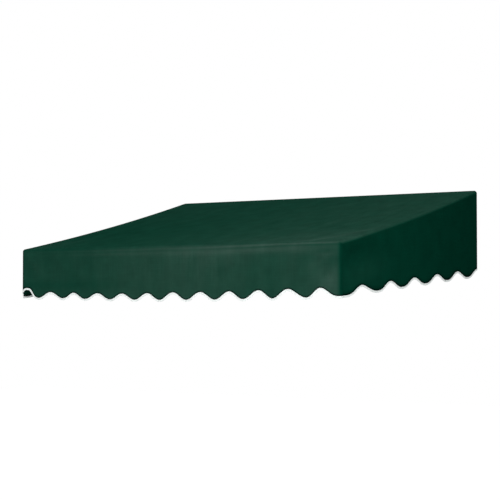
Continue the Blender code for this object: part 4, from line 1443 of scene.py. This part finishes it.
class CANOPY_OT_fittings(bpy.types.Operator):
    """Model the cast fittings: a round core with a hub and a plug-in spigot for each tube"""

    bl_idname = "canopy.fittings"
    bl_label = "Cast Fittings"

    def execute(self, context):
        core_radius = TUBE_RADIUS - 0.0004
        hub_radius = TUBE_RADIUS + 0.0001
        spigot_radius = TUBE_RADIUS - TUBE_WALL - FIT
        for node, (centre, arms) in fitting_arms().items():
            clear_selection()
            bpy.ops.mesh.primitive_uv_sphere_add(
                segments=40, ring_count=24, radius=core_radius, location=centre)
            parts = [bpy.context.object]
            apply_place(parts[0])
            for arm in arms:
                hub_end = centre + arm * HUB_LENGTH
                parts.append(add_cylinder(centre, hub_end, hub_radius, 40))
                parts.append(add_cylinder(centre, hub_end + arm * SPIGOT_LENGTH, spigot_radius, 40))
            casting = join(parts)
            apply_modifier(casting, "REMESH", mode="VOXEL", voxel_size=CASTING_VOXEL)
            apply_modifier(casting, "SMOOTH", factor=0.5, iterations=3)
            shade(casting, 60.0)
            finish_pair(casting, node, "_casting", "cast_aluminium", cast_aluminium())
        return {"FINISHED"}


def add_hook(low, high, centre, axis, angle):
    """A bar of rectangular section bent round an axis: a flat face is spun about it."""
    clear_selection()
    size = high - low
    middle = (low + high) / 2
    bpy.ops.mesh.primitive_plane_add(size=1.0, location=middle)
    item = bpy.context.object
    if axis.x:
        item.scale = (size.x, size.y, 1.0)
    else:
        item.rotation_euler = (0.0, math.pi / 2, 0.0)
        item.scale = (size.z, size.y, 1.0)
    apply_place(item)
    bpy.ops.object.mode_set(mode="EDIT")
    bpy.ops.mesh.select_all(action="SELECT")
    bpy.ops.mesh.spin(steps=HOOK_STEPS, angle=angle, center=centre, axis=axis)
    bpy.ops.mesh.select_all(action="SELECT")
    bpy.ops.mesh.normals_make_consistent(inside=False)
    bpy.ops.object.mode_set(mode="OBJECT")
    return item


def add_drill(middle):
    """A cutter for a wall screw's hole, which reaches past both faces of a plate."""
    reach = Vector((0.0, 0.01, 0.0))
    return add_cylinder(middle - reach, middle + reach, WALL_HOLE_RADIUS, 40)


def finish_plate(item, node):
    """Break the edges of a pressed plate and give it its finish."""
    break_edges(item, PLATE_EDGE, 50.0)
    shade(item)
    finish_pair(item, node, "_plate", "zinc_plate", zinc_plate())


class CANOPY_OT_wall_brackets(bpy.types.Operator):
    """Model the three pressed wall brackets with their hooks under the header rail"""

    bl_idname = "canopy.wall_brackets"
    bl_label = "Wall Brackets"

    def execute(self, context):
        for node in ("wall_bracket_left", "wall_bracket_centre"):
            low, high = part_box(node)
            is_wide = node.endswith("centre")
            plate = add_block(Vector((low.x, -PLATE_THICKNESS, low.z)), high)
            if is_wide:
                hooks = ((low.x, low.x + HOOK_WIDTH), (high.x - HOOK_WIDTH, high.x))
            else:
                hooks = ((low.x, high.x),)
            centre = Vector((0.0, *HEADER))
            bent = [
                add_hook(
                    Vector((start, -PLATE_THICKNESS, 0.0)), Vector((end, 0.0, 0.0)), centre,
                    Vector((1.0, 0.0, 0.0)), math.pi)
                for start, end in hooks]
            boolean(plate, bent, "UNION")
            holes = [
                add_drill(Vector(((start + end) / 2, 0.0, -depth))) for start, end in hooks
                for depth in WALL_HOLE_DEPTHS]
            boolean(plate, holes, "DIFFERENCE")
            finish_plate(plate, node)
        return {"FINISHED"}


class CANOPY_OT_post_clips(bpy.types.Operator):
    """Model the two clips that hold the rear posts to the wall"""

    bl_idname = "canopy.post_clips"
    bl_label = "Post Clips"

    def execute(self, context):
        node = "post_clip_left"
        low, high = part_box(node)
        inner = HEADER[0] + LINING_RADIUS
        near = CLIP_START - POST_X
        plate = add_block(Vector((near, -PLATE_THICKNESS, low.z)), Vector((high.x, 0.0, high.z)))
        hook = add_hook(
            Vector((-POST_X, inner, low.z)), Vector((-POST_X, inner + PLATE_THICKNESS, high.z)),
            Vector((-POST_X, HEADER[0], 0.0)), Vector((0.0, 0.0, 1.0)), math.pi)
        boolean(plate, [hook], "UNION")
        middle = Vector(((near + high.x) / 2 + CLIP_HOLE_SHIFT, 0.0, (low.z + high.z) / 2))
        boolean(plate, [add_drill(middle)], "DIFFERENCE")
        finish_plate(plate, node)
        return {"FINISHED"}


def model_strap():
    """Webbing looped behind a bar along X at the origin, with its two tabs flat on the cloth towards -Y."""
    width = 0.025
    thickness = 0.0015
    tab = 0.015
    radius = TUBE_RADIUS + FIT + thickness / 2
    face = -TUBE_RADIUS + thickness / 2
    bend = 0.002
    half_turn = np.linspace(math.pi / 2, -math.pi / 2, 17)
    line = [(face, radius + tab), (face, radius + bend), (face + bend, radius)]
    line += [(radius * math.cos(angle), radius * math.sin(angle)) for angle in half_turn]
    line += [(face + bend, -radius), (face, -radius - bend), (face, -radius - tab)]
    run = np.concatenate(([0.0], np.cumsum([math.dist(a, b) for a, b in zip(line, line[1:])])))
    across = np.linspace(-width / 2, width / 2, 7)
    points = np.array([[(depth, a, b) for depth in across] for a, b in line])
    uvs = np.array([[(distance, depth) for depth in across] for distance in run])
    item = mesh_from_grid("strap", points, uvs, {})
    apply_modifier(item, "SOLIDIFY", thickness=thickness, offset=0.0)
    break_edges(item, WEBBING_EDGE, 60.0)
    shade(item, 50.0)
    return item


class CANOPY_OT_keeper_straps(bpy.types.Operator):
    """Model one of the webbing straps that keep the cover on the lower bars, and copy it to every place"""

    bl_idname = "canopy.keeper_straps"
    bl_label = "Keeper Straps"

    def execute(self, context):
        first = model_strap()
        places = {}
        for number, u in enumerate(front_strap_places(), start=1):
            places["keeper_strap_front_%d" % number] = Matrix.Translation((u, FRONT_BAR[0], LOW_BAR_Z))
        along = (SIDE_BAR[1] - SIDE_BAR[0]).normalized()
        inward = Vector((1.0, 0.0, 0.0))
        turn = Matrix((along, inward, inward.cross(along))).transposed().to_4x4()
        for number, v in enumerate(side_strap_places(), start=1):
            height = tip_height(v) + LOW_BAR_Z - tip_height(FRONT_BAR[0])
            place = Matrix.Translation((-POST_X, v, height)) @ turn
            places["keeper_strap_left_%d" % number] = place
            places["keeper_strap_right_%d" % number] = MIRROR @ place
        for node, place in places.items():
            copy_piece(first, place, node + "_webbing", "black_webbing", node, black_webbing())
        bpy.data.objects.remove(first, do_unlink=True)
        return {"FINISHED"}


def model_screw():
    """A pan-head screw with a cross recess at the origin, its head towards +Z."""
    head_radius = 0.004
    head_height = 0.0026
    head_rounding = 0.0014
    recess_reach = 0.0021
    recess_half_width = 0.00045
    recess_depth = 0.0012
    shank_radius = 0.002
    shank_length = 0.008
    overlap = 0.0005
    head = add_cylinder(Vector((0.0, 0.0, 0.0)), Vector((0.0, 0.0, head_height)), head_radius, 32)
    make_active(head)
    bpy.ops.object.mode_set(mode="EDIT")
    bpy.ops.mesh.select_mode(type="FACE")
    bpy.ops.mesh.select_all(action="DESELECT")
    bpy.ops.object.mode_set(mode="OBJECT")
    for face in head.data.polygons:
        face.select = face.normal.z > 0.9
    bpy.ops.object.mode_set(mode="EDIT")
    bpy.ops.mesh.bevel(offset=head_rounding, segments=6, profile=0.5)
    bpy.ops.object.mode_set(mode="OBJECT")
    bottom = Vector((0.0, 0.0, head_height - recess_depth))
    top = Vector((0.0, 0.0, head_height + 2 * overlap))
    slots = []
    for reach in ((recess_reach, recess_half_width, 0.0), (recess_half_width, recess_reach, 0.0)):
        slots.append(add_block(bottom - Vector(reach), top + Vector(reach)))
    boolean(head, slots, "DIFFERENCE")
    shank = add_cylinder(Vector((0.0, 0.0, overlap)), Vector((0.0, 0.0, -shank_length)), shank_radius, 24)
    boolean(head, [shank], "UNION")
    return head


class CANOPY_OT_screws(bpy.types.Operator):
    """Model one pan-head screw and copy it to every seat"""

    bl_idname = "canopy.screws"
    bl_label = "Screws"

    def execute(self, context):
        turn_step = 0.7
        first = model_screw()
        shade(first, 40.0)
        for index, (node, (seat, out, _)) in enumerate(screw_seats().items()):
            turn = out.to_track_quat("Z", "Y").to_matrix().to_4x4()
            place = Matrix.Translation(seat) @ turn @ Matrix.Rotation(turn_step * index, 4, "Z")
            copy_piece(first, place, node + "_pan_head", "bright_screw", node, stainless_steel())
        bpy.data.objects.remove(first, do_unlink=True)
        return {"FINISHED"}


def white_to_camera(tree, surface, white):
    """A white shader to camera, glossy and transmission rays, and a surface's own to others."""
    path = add_node(tree, "ShaderNodeLightPath")
    seen = path.outputs["Is Camera Ray"]
    for ray in ("Is Glossy Ray", "Is Transmission Ray"):
        either = add_node(tree, "ShaderNodeMath", {0: seen, 1: path.outputs[ray]}, operation="MAXIMUM")
        seen = either.outputs[0]
    return add_node(tree, "ShaderNodeMixShader", {0: seen, 1: surface, 2: white}).outputs[0]


def add_lamp(name, place, size, power):
    """A square soft lamp aimed at the canopy."""
    clear_selection()
    bpy.ops.object.light_add(type="AREA", location=place)
    lamp = bpy.context.object
    lamp.name = name
    lamp.data.shape = "SQUARE"
    lamp.data.size = size
    lamp.data.energy = power
    lamp.rotation_euler = (LAMP_TARGET - place).to_track_quat("-Z", "Y").to_euler()
    lamp.visible_glossy = False


class CANOPY_OT_stage(bpy.types.Operator):
    """Set up the floor, the world, the lamps and the camera"""

    bl_idname = "canopy.stage"
    bl_label = "Stage"

    def execute(self, context):
        scene = context.scene
        white = (1.0, 1.0, 1.0, 1.0)
        low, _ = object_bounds()
        floor_height = low.z - scene.canopy_sizes.floor_drop
        clear_selection()
        bpy.ops.mesh.primitive_plane_add(size=FLOOR_SIZE, location=(0.0, 0.0, floor_height))
        floor = context.object
        floor.name = "studio_floor"
        floor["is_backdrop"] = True
        material, tree = new_material("pale_studio_floor")
        diffuse = add_node(tree, "ShaderNodeBsdfDiffuse", {"Color": (*linear("#F4F4F4"), 1.0)})
        glow = add_node(tree, "ShaderNodeEmission", {"Color": white, "Strength": FLOOR_GLOW})
        shown = add_node(tree, "ShaderNodeAddShader", {0: diffuse.outputs[0], 1: glow.outputs[0]})
        add_node(tree, "ShaderNodeOutputMaterial", {
            "Surface": white_to_camera(tree, diffuse.outputs[0], shown.outputs[0])})
        floor.data.materials.append(material)

        world = bpy.data.worlds.new("studio")
        scene.world = world
        world.use_nodes = True
        world.node_tree.nodes.clear()
        tree = world.node_tree
        ambient = add_node(tree, "ShaderNodeBackground", {"Color": white, "Strength": AMBIENT})
        backdrop = add_node(tree, "ShaderNodeBackground", {"Color": white, "Strength": 1.0})
        add_node(tree, "ShaderNodeOutputWorld", {
            "Surface": white_to_camera(tree, ambient.outputs[0], backdrop.outputs[0])})

        for name, place, size, power in LAMPS:
            add_lamp(name, place, size, power)

        clear_selection()
        turn = [math.radians(angle) for angle in CAMERA_TURN]
        bpy.ops.object.camera_add(location=CAMERA_PLACE, rotation=turn)
        camera = context.object
        camera.data.lens = CAMERA_LENS
        camera.data.sensor_width = CAMERA_SENSOR
        camera.data.dof.use_dof = False
        scene.camera = camera
        scene.view_settings.view_transform = "Standard"
        return {"FINISHED"}


OPERATORS = (
    CANOPY_OT_roof_and_front,
    CANOPY_OT_side_panels,
    CANOPY_OT_edge_binding,
    CANOPY_OT_stitching,
    CANOPY_OT_tubes,
    CANOPY_OT_fittings,
    CANOPY_OT_wall_brackets,
    CANOPY_OT_post_clips,
    CANOPY_OT_keeper_straps,
    CANOPY_OT_screws,
    CANOPY_OT_stage,
)


class VIEW3D_PT_canopy(bpy.types.Panel):
    """Sidebar panel with every building step"""

    bl_label = "Door Canopy"
    bl_idname = "VIEW3D_PT_canopy"
    bl_space_type = "VIEW_3D"
    bl_region_type = "UI"
    bl_category = "Canopy"

    def draw(self, context):
        layout = self.layout
        for group in (context.scene.canopy_sizes, context.scene.canopy_colours):
            column = layout.column()
            for name in group.bl_rna.properties.keys():
                if name not in ("rna_type", "name"):
                    column.prop(group, name)
        for operator in OPERATORS:
            layout.operator(operator.bl_idname)


CLASSES = (CanopySizes, CanopyColours) + OPERATORS + (VIEW3D_PT_canopy,)


def register():
    """Register the classes and their scene settings."""
    for item in CLASSES:
        bpy.utils.register_class(item)
    bpy.types.Scene.canopy_sizes = PointerProperty(type=CanopySizes)
    bpy.types.Scene.canopy_colours = PointerProperty(type=CanopyColours)


def unregister():
    """Take the settings and classes away again."""
    del bpy.types.Scene.canopy_colours
    del bpy.types.Scene.canopy_sizes
    for item in reversed(CLASSES):
        bpy.utils.unregister_class(item)


def main():
    """Register and build every piece in order."""
    register()
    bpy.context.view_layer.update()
    for operator in OPERATORS:
        group, name = operator.bl_idname.split(".")
        getattr(getattr(bpy.ops, group), name)()
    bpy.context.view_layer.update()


if __name__ == "__main__":
    main()
